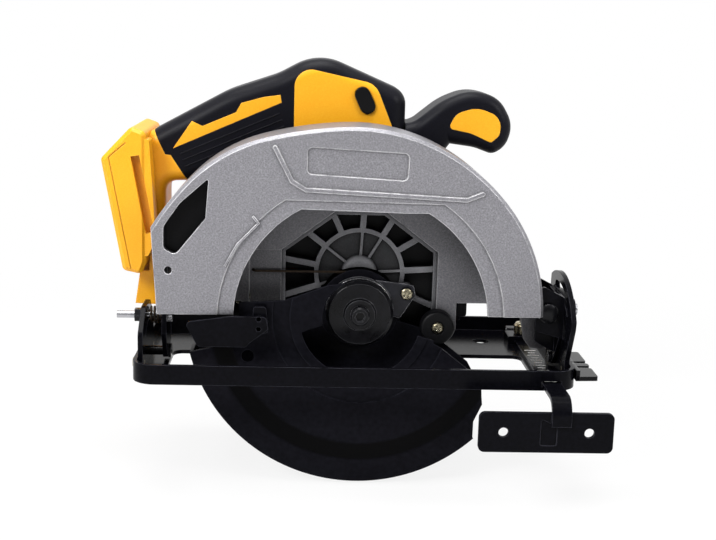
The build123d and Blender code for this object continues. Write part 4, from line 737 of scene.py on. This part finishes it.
@dataclass(frozen=True)
class MarkRow:
    """Painted marks in a straight row or on an arc, with every so many of them long.

    Attributes:
        count: Number of marks.
        width: Width of a mark.
        length: Length of a short mark.
        stretch: Length of a long mark in short ones.
        every: Step from one long mark to the next.
        thick: Thickness of the paint.
    """

    count: int
    width: float
    length: float
    stretch: float
    every: int
    thick: float = 0.06

    def straight(self) -> Tree:
        """Build the tree of a straight row.

        Returns:
            The tree, with the row's start and step as inputs.
        """
        tree, start, end = new_tree("straight_marks", {
            "Start": "NodeSocketVector", "Step": "NodeSocketVector",
            "Finish": "NodeSocketMaterial"})
        row = add(tree, "GeometryNodeMeshLine",
                  {"Count": self.count, 2: start.outputs["Start"], 3: start.outputs["Step"]})
        self.stamp(tree, row, None, start, end)
        return tree

    def arc(self) -> Tree:
        """Build the tree of an arc about the X axis.

        Returns:
            The tree, with the arc's radius, first angle and step as inputs.
        """
        tree, start, end = new_tree("arc_marks", {
            "Radius": "NodeSocketFloat", "First": "NodeSocketFloat", "Step": "NodeSocketFloat",
            "Finish": "NodeSocketMaterial"})
        row = add(tree, "GeometryNodeMeshLine", {"Count": self.count})
        index = add(tree, "GeometryNodeInputIndex")
        angle = add(tree, "ShaderNodeMath",
                    {0: index.outputs[0], 1: start.outputs["Step"], 2: start.outputs["First"]},
                    operation="MULTIPLY_ADD").outputs[0]
        across = add(tree, "ShaderNodeMath", {0: angle}, operation="COSINE")
        up = add(tree, "ShaderNodeMath", {0: angle}, operation="SINE")
        spot = add(tree, "ShaderNodeCombineXYZ", {1: across.outputs[0], 2: up.outputs[0]})
        reach = add(tree, "ShaderNodeVectorMath",
                    {0: spot.outputs[0], "Scale": start.outputs["Radius"]}, operation="SCALE")
        ring = add(tree, "GeometryNodeSetPosition",
                   {"Geometry": row.outputs[0], "Position": reach.outputs[0]})
        tilt = add(tree, "ShaderNodeCombineXYZ", {0: angle})
        self.stamp(tree, ring, tilt, start, end)
        return tree

    def stamp(self, tree: Tree, row: Node, tilt: Node | None, start: Node, end: Node) -> None:
        """Set a mark on each point of a row.

        Args:
            tree: Tree that gets the nodes.
            row: Node that gives the points.
            tilt: Node that gives the turn of each mark, if they turn.
            start: Input node of the tree.
            end: Output node of the tree.
        """
        if tilt is None:
            size, long_way = (self.length, self.width, self.thick), 0
        else:
            size, long_way = (self.thick, self.length, self.width), 1
        mark = add(tree, "GeometryNodeMeshCube", {"Size": tuple(c * MM for c in size)})
        index = add(tree, "GeometryNodeInputIndex")
        rest = add(tree, "ShaderNodeMath", {0: index.outputs[0], 1: float(self.every)},
                   operation="MODULO")
        is_long = add(tree, "ShaderNodeMath", {0: rest.outputs[0], 1: 0.5},
                      operation="LESS_THAN")
        stretch = add(tree, "ShaderNodeMix", {0: is_long.outputs[0], 2: 1.0, 3: self.stretch})
        scale = add(tree, "ShaderNodeCombineXYZ",
                    {0: 1.0, 1: 1.0, 2: 1.0, long_way: stretch.outputs[0]})
        inputs = {"Points": row.outputs[0], "Instance": mark.outputs[0],
                  "Scale": scale.outputs[0]}
        if tilt is not None:
            inputs["Rotation"] = tilt.outputs[0]
        close_tree(tree, add(tree, "GeometryNodeInstanceOnPoints", inputs), start, end)


def numerals(words: list[tuple[str, Triple, float]], height: float, facing: Matrix,
             finish: Finish) -> Mesh:
    """Write the numbers of a scale as thin raised figures.

    Args:
        words: Each number with its middle, in millimetres, and its turn in its own plane.
        height: Height of a figure in millimetres.
        facing: Turn from lying flat to the face that carries the numbers.
        finish: Finish of the figures.

    Returns:
        One mesh of all the numbers.
    """
    form = bmesh.new()
    for text, place, turn in words:
        curve = bpy.data.curves.new("figure", "FONT")
        curve.body = text
        curve.size = height * FONT_SIZE * MM
        curve.extrude = FIGURE_LIFT * MM
        curve.resolution_u = 3
        curve.align_x, curve.align_y = "CENTER", "CENTER"
        mesh = settled(bpy.data.objects.new("figure", curve))
        mesh.transform(Matrix.Translation(Vector(place) * MM) @ facing
                       @ Matrix.Rotation(turn, 4, "Z"))
        form.from_mesh(mesh)
        bpy.data.meshes.remove(mesh)
    whole = bpy.data.meshes.new("figures")
    form.to_mesh(whole)
    form.free()
    whole.materials.clear()
    whole.materials.append(finish.material())
    return whole


@dataclass
class Shoe(Assembly):
    """Pressed shoe with its bevel plates, and the angle scale on the front plate."""

    worn: dict[Finish, tuple[str, ...]] = field(default_factory=lambda: {
        POWDER: ("base_plate", "bevel_quadrant", "rear_bracket", "fence_guide"),
        GLOSSY: ("sight_guide",),
        ZINC: ("shoe_rivets",),
        OXIDE: ("bevel_pins",),
    })
    body: str = "shoe"
    hinge: Pair = (2.0, 7.0)
    marks: MarkRow = MarkRow(count=10, width=0.5, length=3.0, stretch=1.5, every=3)
    scale_r: float = 32.5
    step: float = 5.0
    angles: tuple[int, ...] = (0, 15, 30, 45)
    figure_r: float = 42.8
    figure_h: float = 2.6

    def build(self) -> None:
        """Paint the angle scale on the front plate."""
        face_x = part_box("bevel_quadrant")[1][0] / MM
        mesh = grow(self.marks.arc(), [(0, 0, 0)], {
            "Radius": self.scale_r * MM, "First": pi / 2, "Step": radians(self.step),
            "Finish": PAINT.material()})
        mesh.transform(Matrix.Translation(Vector((face_x + MARK_LIFT, *self.hinge)) * MM))
        keep("bevel_marks", mesh, self.body)
        words = []
        for angle in self.angles:
            a = radians(90 + angle)
            spot = (face_x + FIGURE_LIFT, self.hinge[0] + self.figure_r * cos(a),
                    self.hinge[1] + self.figure_r * sin(a))
            words.append((str(angle), spot, radians(angle)))
        facing = Matrix.Rotation(pi / 2, 4, "Z") @ Matrix.Rotation(pi / 2, 4, "X")
        figures = numerals(words, self.figure_h, facing, PAINT)
        keep("bevel_figures", figures, self.body)


@dataclass
class Fence(Assembly):
    """Rip fence with the painted scale along its bar."""

    worn: dict[Finish, tuple[str, ...]] = field(default_factory=lambda: {
        POWDER: ("rip_fence",),
    })
    body: str = "fence"
    marks: MarkRow = MarkRow(count=13, width=1.2, length=4.0, stretch=1.6, every=2)
    bar_x: float = 95.6
    first_y: float = -35.0
    pitch: float = 5.0

    def build(self) -> None:
        """Paint the marks on the top of the bar."""
        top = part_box("rip_fence")[1][2]
        first = (self.bar_x * MM, self.first_y * MM, top + MARK_LIFT * MM)
        mesh = grow(self.marks.straight(), [(0, 0, 0)], {
            "Start": first, "Step": (0.0, self.pitch * MM, 0.0), "Finish": PAINT.material()})
        keep("fence_marks", mesh, self.body)


@dataclass
class FenceScrew(Assembly):
    """Clamp screw of the fence, with the cross in its head."""

    worn: dict[Finish, tuple[str, ...]] = field(default_factory=lambda: {
        ZINC: ("fence_clamp_screw",),
    })
    body: str = "fence_screw"
    rim: float = 0.6

    def build(self) -> None:
        """Set the domed head on the clamp screw, inside a flat rim."""
        low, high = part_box("fence_clamp_screw")
        radius = (high[0] - low[0]) / 2 / MM
        spot = ((low[0] + high[0]) / 2 / MM, (low[1] + high[1]) / 2 / MM, high[2] / MM)
        head = ScrewHeads(radius - self.rim).mesh([spot], UPWARD, ZINC)
        keep("fence_screw_dome", head, self.body)


@dataclass
class TiltFrame(Assembly):
    """Bracket and arc bar that tilt on the shoe, with the depth scale and the pivot bolt."""

    worn: dict[Finish, tuple[str, ...]] = field(default_factory=lambda: {
        POWDER: ("front_tilt_bracket", "depth_guide"),
        OXIDE: ("depth_bolt", "rear_nut"),
        STEEL: ("bevel_stud", "rear_stud"),
        SPRING: ("rear_spring",),
    })
    body: str = "tilt_frame"
    hinge: Pair = (96.0, 35.0)
    marks: MarkRow = MarkRow(count=15, width=0.6, length=2.4, stretch=1.5, every=5)
    guide_r: float = 158.0
    guide_w: float = 14.0
    mark_in: float = 2.2
    step: float = 2.0
    face_y: float = 15.9
    bolt_head: ScrewHeads = ScrewHeads(5.2, height=1.6, recess=0.0)

    def build(self) -> None:
        """Paint the depth marks on the far face of the arc bar, and round the pivot bolt."""
        mesh = grow(self.marks.arc(), [(0, 0, 0)], {
            "Radius": (self.guide_r + self.guide_w / 2 - self.mark_in) * MM, "First": 0.0,
            "Step": radians(self.step), "Finish": PAINT.material()})
        middle = Vector((self.hinge[0], self.face_y + MARK_LIFT, self.hinge[1])) * MM
        mesh.transform(Matrix.Translation(middle) @ Matrix.Rotation(pi / 2, 4, "Z"))
        keep("depth_marks", mesh, self.body)
        spot = (self.hinge[0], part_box("depth_bolt")[0][1] / MM, self.hinge[1])
        dome = self.bolt_head.mesh([spot], TO_NEAR, OXIDE)
        keep("pivot_bolt_dome", dome, self.body)


@dataclass
class Controls(Assembly):
    """Levers, lock, trigger and button, each of which is a body of its own."""

    worn: dict[Finish, tuple[str, ...]] = field(default_factory=lambda: {
        POWDER: ("bevel_lever", "depth_lever", "spindle_lock"),
        GLOSSY: ("trigger", "lock_off_button"),
    })


@dataclass
class GuardHousing(Assembly):
    """Cast upper guard with its raised arrow, chute and fixings."""

    worn: dict[Finish, tuple[str, ...]] = field(default_factory=lambda: {
        CAST: ("upper_guard",),
        BLACK: ("dust_chute",),
        RUBBER: ("guard_bumper",),
        ZINC: ("bumper_screw", "depth_stud"),
    })
    body: str = "saw"
    wall_y: float = -22.0
    sunk: float = 0.1
    proud: float = 0.7
    width: float = 1.2
    arrow: tuple[Pair, ...] = ((-68.8, 57.3), (-62.7, 68.3), (-52.2, 79.2), (-55.1, 82.8))
    stop: Triple = (41.7, 3.2, 21.1)
    stop_head: ScrewHeads = ScrewHeads(2.7, height=0.9)

    def build(self) -> None:
        """Raise the arrow of the arbor's turn, and set the head of the stop's screw."""
        outline = [(x, self.wall_y + self.sunk, z) for x, z in ribbon(self.arrow, self.width)]
        arrow = plate(outline, (0, -self.proud - self.sunk, 0), CAST)
        keep("guard_arrow", arrow, self.body)
        head = self.stop_head.mesh([self.stop], TO_NEAR, ZINC)
        keep("stop_screw_dome", head, self.body)


@dataclass
class SwingGuard(Assembly):
    """Lower guard that swings round the boss, and the torsion spring that it winds."""

    worn: dict[Finish, tuple[str, ...]] = field(default_factory=lambda: {
        ENAMEL: ("lower_guard",),
        POWDER: ("guard_lever",),
        SPRING: ("guard_spring",),
    })
    body: str = "swing_guard"
    axis_z: float = 30.0
    coil_r: float = 18.95
    coil_y: float = 10.3
    pitch: float = 2.2
    turns: float = 2.5
    turn_steps: int = 48
    leg: float = 56.0
    bend: float = 2.0
    bend_steps: int = 8
    tip: float = 1.2
    wire_r: float = 0.7
    still_y: float = 12.7

    def line(self) -> list[Triple]:
        """Follow the middle of the spring wire.

        Returns:
            Points from the hook in the far wall, along the leg and round the coil.
        """
        top = self.axis_z + self.coil_r
        hook_y = self.coil_y - self.leg * self.pitch / (2 * pi * self.coil_r)
        points = [(-self.leg, hook_y + self.bend + self.tip, top)]
        for k in range(self.bend_steps + 1):
            a = pi + k * pi / 2 / self.bend_steps
            points.append((self.bend * (1 + cos(a)) - self.leg,
                           hook_y + self.bend * (1 + sin(a)), top))
        steps = int(self.turns * self.turn_steps)
        for k in range(steps + 1):
            u = self.turns * k / steps
            a = pi / 2 - 2 * pi * u
            points.append((self.coil_r * cos(a), self.coil_y + self.pitch * u,
                           self.axis_z + self.coil_r * sin(a)))
        return points

    def build(self) -> None:
        """Wind the spring, whose leg hooks on the saw and whose coil ends on the guard, as a
        piece on no body.
        """
        coil = wire(self.line(), self.wire_r, SPRING)
        piece = keep("guard_spring_wound", coil, None)
        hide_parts("guard_spring")
        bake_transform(piece)


@dataclass
class GearHead(Assembly):
    """Gear case with its retaining plate, bearings, arbor and gears."""

    worn: dict[Finish, tuple[str, ...]] = field(default_factory=lambda: {
        NYLON: ("gear_case",),
        PHOSPHATE: ("guard_retainer",),
        ZINC: ("case_screws",),
        OXIDE: ("retainer_screws", "outer_flange", "arbor_bolt"),
        STEEL: ("spindle", "spindle_bearing", "drive_gear", "motor_pinion", "inner_flange"),
        BRONZE: ("spindle_bush",),
    })
    body: str = "saw"
    plate_screw: Triple = (24.7, 2.7, 39.3)
    plate_head: ScrewHeads = ScrewHeads(3.1, height=1.0)
    case_screws: tuple[Pair, ...] = ((-44.6, 66.0), (44.6, 66.0), (-22.0, 84.6), (22.0, 84.6))
    case_head: ScrewHeads = ScrewHeads(2.9)

    def build(self) -> None:
        """Set the cross-recessed heads of the plate and the case."""
        head = self.plate_head.mesh([self.plate_screw], TO_NEAR, ZINC)
        keep("plate_screw_dome", head, self.body)
        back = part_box("case_screws")[1][1] / MM
        heads = self.case_head.mesh([(x, back, z) for x, z in self.case_screws], TO_FAR, ZINC)
        keep("case_screw_domes", heads, self.body)


@dataclass
class Motor(Assembly):
    """Motor barrel with its cap, winding, rotor and fan."""

    worn: dict[Finish, tuple[str, ...]] = field(default_factory=lambda: {
        YELLOW: ("motor_housing",),
        BLACK: ("motor_end_cap", "cooling_fan"),
        ZINC: ("barrel_screws",),
        STEEL: ("motor_rotor", "front_rotor_bearing", "rear_rotor_bearing"),
        COPPER: ("motor_stator",),
    })


@dataclass
class Grip(Assembly):
    """Handle shells with the rubber overmould, its fine ribs and the shell screws."""

    worn: dict[Finish, tuple[str, ...]] = field(default_factory=lambda: {
        YELLOW: ("handle_near", "handle_far", "battery_foot", "front_inlays"),
        TPE: ("grip_near", "grip_far", "front_handle"),
        BLACK: ("power_switch", "terminal_block"),
        ZINC: ("handle_screws",),
        STEEL: ("trigger_pin",),
    })
    body: str = "saw"
    rib_from: Pair = (-95.6, 107.9)
    rib_to: Pair = (-43.6, 130.3)
    rib_step: Pair = (1.3, -3.3)
    rib_count: int = 3
    rib_r: float = 0.4
    rib_sides: int = 10
    screws: tuple[Pair, ...] = ((-104.0, 104.0), (-104.0, 44.0), (-60.0, 38.0), (-74.0, 122.0),
                                (-12.0, 100.0), (12.0, 98.0))
    screw_head: ScrewHeads = ScrewHeads(2.9)

    def ribs(self) -> Tree:
        """Build the tree of parallel round ribs.

        Returns:
            The tree, with the first rib's ends and the step as inputs.
        """
        tree, start, end = new_tree("grip_ribs", {
            "From": "NodeSocketVector", "To": "NodeSocketVector", "Step": "NodeSocketVector",
            "Radius": "NodeSocketFloat", "Finish": "NodeSocketMaterial"})
        line = add(tree, "GeometryNodeCurvePrimitiveLine",
                   {"Start": start.outputs["From"], "End": start.outputs["To"]})
        ring = add(tree, "GeometryNodeCurvePrimitiveCircle",
                   {"Resolution": self.rib_sides, "Radius": start.outputs["Radius"]})
        tube = add(tree, "GeometryNodeCurveToMesh",
                   {"Curve": line.outputs[0], "Profile Curve": ring.outputs[0],
                    "Fill Caps": True})
        row = add(tree, "GeometryNodeMeshLine",
                  {"Count": self.rib_count, 3: start.outputs["Step"]})
        ribs = add(tree, "GeometryNodeInstanceOnPoints",
                   {"Points": row.outputs[0], "Instance": tube.outputs[0]})
        close_tree(tree, ribs, start, end)
        return tree

    def build(self) -> None:
        """Lay the ribs on both sides of the grip and set the shell screws' heads."""
        tree = self.ribs()
        step = (self.rib_step[0] * MM, 0.0, self.rib_step[1] * MM)
        for side, node, corner in (("near", "grip_near", 0), ("far", "grip_far", 1)):
            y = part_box(node)[corner][1]
            first, last = [(x * MM, y, z * MM) for x, z in (self.rib_from, self.rib_to)]
            mesh = grow(tree, [(0, 0, 0)], {
                "From": first, "To": last, "Step": step, "Radius": self.rib_r * MM,
                "Finish": TPE.material()})
            keep(f"grip_ribs_{side}", mesh, self.body)
        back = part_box("handle_screws")[1][1] / MM
        heads = self.screw_head.mesh([(x, back, z) for x, z in self.screws], TO_FAR, ZINC)
        keep("handle_screw_domes", heads, self.body)


@dataclass(frozen=True)
class Lamp:
    """One soft square lamp, in metres and watts."""

    name: str
    place: Triple
    aim: Triple
    size: float
    power: float

    def hang(self) -> None:
        """Hang the lamp in the scene, facing its aim."""
        data = bpy.data.lights.new(self.name, "AREA")
        data.shape = "SQUARE"
        data.size = self.size
        data.energy = self.power
        lamp = bpy.data.objects.new(self.name, data)
        way = (Vector(self.aim) - Vector(self.place)).to_track_quat("-Z", "Y")
        lamp.matrix_world = Matrix.Translation(self.place) @ way.to_matrix().to_4x4()
        bpy.context.scene.collection.objects.link(lamp)


@dataclass
class Studio:
    """Floor, light and camera of the picture.

    Attributes:
        eye: Place of the camera, in millimetres.
        yaw: Turn of the camera to the right, in degrees.
        pitch: Turn of the camera down, in degrees.
        roll: Turn of the camera about its own line of sight, in degrees.
        focal: Focal length in pixels of the picture.
        picture_w: Width of the picture in pixels.
        sensor_w: Width of the sensor, in millimetres.
        floor_z: Height of the floor, in millimetres.
        floor_half: Half the side of the floor, in metres.
        shade_reach: Distances from the middle at which the floor starts to whiten and is white.
        shade_white: Share of white in the floor under the saw, where the shadow lies.
        lean: Weight of height against depth in the room's change from dark to light.
        room_span: Values of that sum at which the room is darkest and lightest.
        room: Least and most light that a gleam finds in the room.
        ambient: Share of that light that falls on the saw.
        lamps: The lamps.
    """

    eye: Triple = (-27.8, -627.1, 176.6)
    yaw: float = 2.42
    pitch: float = 11.21
    roll: float = -1.59
    focal: float = 1232.3
    picture_w: int = 716
    sensor_w: float = 36.0
    floor_z: float = -61.2
    floor_half: float = 6.0
    shade_reach: Pair = (0.25, 0.6)
    shade_white: float = 0.86
    lean: float = 1.1
    room_span: Pair = (-0.5, 0.5)
    room: Pair = (0.22, 1.0)
    ambient: float = 0.32
    lamps: tuple[Lamp, ...] = (
        Lamp("key", (-0.7, -0.75, 0.75), (0, 0, 0.05), size=0.35, power=10.5),
        Lamp("top", (-0.1, -0.05, 1.0), (0, 0, 0.05), size=0.6, power=9.0),
        Lamp("side", (0.75, -0.55, 0.6), (0, 0, 0.08), size=0.25, power=4.0),
    )

    def camera(self) -> None:
        """Set the camera at the photograph's viewpoint."""
        yaw, pitch, roll = radians(self.yaw), radians(self.pitch), radians(self.roll)
        ahead = Vector((sin(yaw) * cos(pitch), cos(yaw) * cos(pitch), -sin(pitch)))
        level = Vector((cos(yaw), -sin(yaw), 0))
        below = ahead.cross(level)
        right = level * cos(roll) + below * sin(roll)
        down = below * cos(roll) - level * sin(roll)
        data = bpy.data.cameras.new("camera")
        data.sensor_fit = "HORIZONTAL"
        data.sensor_width = self.sensor_w
        data.lens = self.focal / self.picture_w * self.sensor_w
        data.clip_start = 0.01
        camera = bpy.data.objects.new("camera", data)
        turn = Matrix((right, -down, -ahead)).transposed().to_4x4()
        camera.matrix_world = Matrix.Translation(Vector(self.eye) * MM) @ turn
        bpy.context.scene.collection.objects.link(camera)
        bpy.context.scene.camera = camera

    def paper(self) -> bpy.types.Material:
        """Make white paper that keeps the shadow and is white to the camera.

        Returns:
            The material of the floor.
        """
        paper = bpy.data.materials.new("white_paper_sweep")
        paper.use_nodes = True
        tree = paper.node_tree
        tree.nodes.clear()
        path = add(tree, "ShaderNodeLightPath").outputs
        seen = add(tree, "ShaderNodeMath", {0: path["Is Camera Ray"], 1: path["Is Glossy Ray"]},
                   operation="MAXIMUM")
        place = add(tree, "ShaderNodeTexCoord").outputs["Object"]
        reach = add(tree, "ShaderNodeVectorMath", {0: place}, operation="LENGTH")
        white = add(tree, "ShaderNodeMapRange",
                    {"Value": reach.outputs["Value"], "From Min": self.shade_reach[0],
                     "From Max": self.shade_reach[1], "To Min": self.shade_white,
                     "To Max": 1.0}, interpolation_type="SMOOTHSTEP")
        share = add(tree, "ShaderNodeMath", {0: seen.outputs[0], 1: white.outputs[0]},
                    operation="MULTIPLY")
        matt = add(tree, "ShaderNodeBsdfDiffuse", {"Color": linear("f2f2f2")})
        glow = add(tree, "ShaderNodeEmission", {"Color": linear("ffffff"), "Strength": 1.0})
        both = add(tree, "ShaderNodeMixShader",
                   {0: share.outputs[0], 1: matt.outputs[0], 2: glow.outputs[0]})
        add(tree, "ShaderNodeOutputMaterial", {"Surface": both.outputs[0]})
        return paper

    def floor(self) -> None:
        """Lay a pale floor under the saw."""
        form = bmesh.new()
        bmesh.ops.create_grid(form, x_segments=8, y_segments=8, size=self.floor_half,
                              matrix=Matrix.Translation((0, 0, self.floor_z * MM)))
        mesh = bpy.data.meshes.new("floor")
        form.to_mesh(mesh)
        form.free()
        mesh.materials.append(self.paper())
        floor = bpy.data.objects.new("floor", mesh)
        bpy.context.scene.collection.objects.link(floor)

    def world(self) -> None:
        """Surround the saw with white that lights it at a plain level."""
        world = bpy.data.worlds.new("white_room")
        bpy.context.scene.world = world
        world.use_nodes = True
        tree = world.node_tree
        tree.nodes.clear()
        path = add(tree, "ShaderNodeLightPath").outputs
        seen = add(tree, "ShaderNodeMath",
                   {0: path["Is Camera Ray"], 1: path["Is Transmission Ray"]},
                   operation="MAXIMUM")
        way = add(tree, "ShaderNodeSeparateXYZ",
                  {0: add(tree, "ShaderNodeTexCoord").outputs["Generated"]})
        height = add(tree, "ShaderNodeMath",
                     {0: way.outputs[2], 1: self.lean, 2: way.outputs[1]},
                     operation="MULTIPLY_ADD")
        room = add(tree, "ShaderNodeMapRange",
                   {"Value": height.outputs[0], "From Min": self.room_span[0],
                    "From Max": self.room_span[1], "To Min": self.room[0],
                    "To Max": self.room[1]})
        soft = add(tree, "ShaderNodeMath", {0: room.outputs[0], 1: self.ambient},
                   operation="MULTIPLY")
        bright = add(tree, "ShaderNodeMix",
                     {0: path["Is Glossy Ray"], 2: soft.outputs[0], 3: room.outputs[0]})
        level = add(tree, "ShaderNodeMath", {0: seen.outputs[0], 1: bright.outputs[0]},
                    operation="MAXIMUM")
        back = add(tree, "ShaderNodeBackground",
                   {"Color": linear("ffffff"), "Strength": level.outputs[0]})
        add(tree, "ShaderNodeOutputWorld", {"Surface": back.outputs[0]})

    def build(self) -> None:
        """Set up the whole studio."""
        bpy.context.scene.view_settings.view_transform = "Standard"
        self.camera()
        self.floor()
        self.world()
        for lamp in self.lamps:
            lamp.hang()


def main() -> None:
    """Build every class in order."""
    logging.basicConfig(level=logging.INFO, format="%(name)s: %(message)s")
    Studio().build()
    for group in (Shoe(), Fence(), FenceScrew(), TiltFrame(), Controls(), GuardHousing(),
                  SwingGuard(), GearHead(), Motor(), Grip()):
        group.dress()
        group.build()


if __name__ == "__main__":
    main()
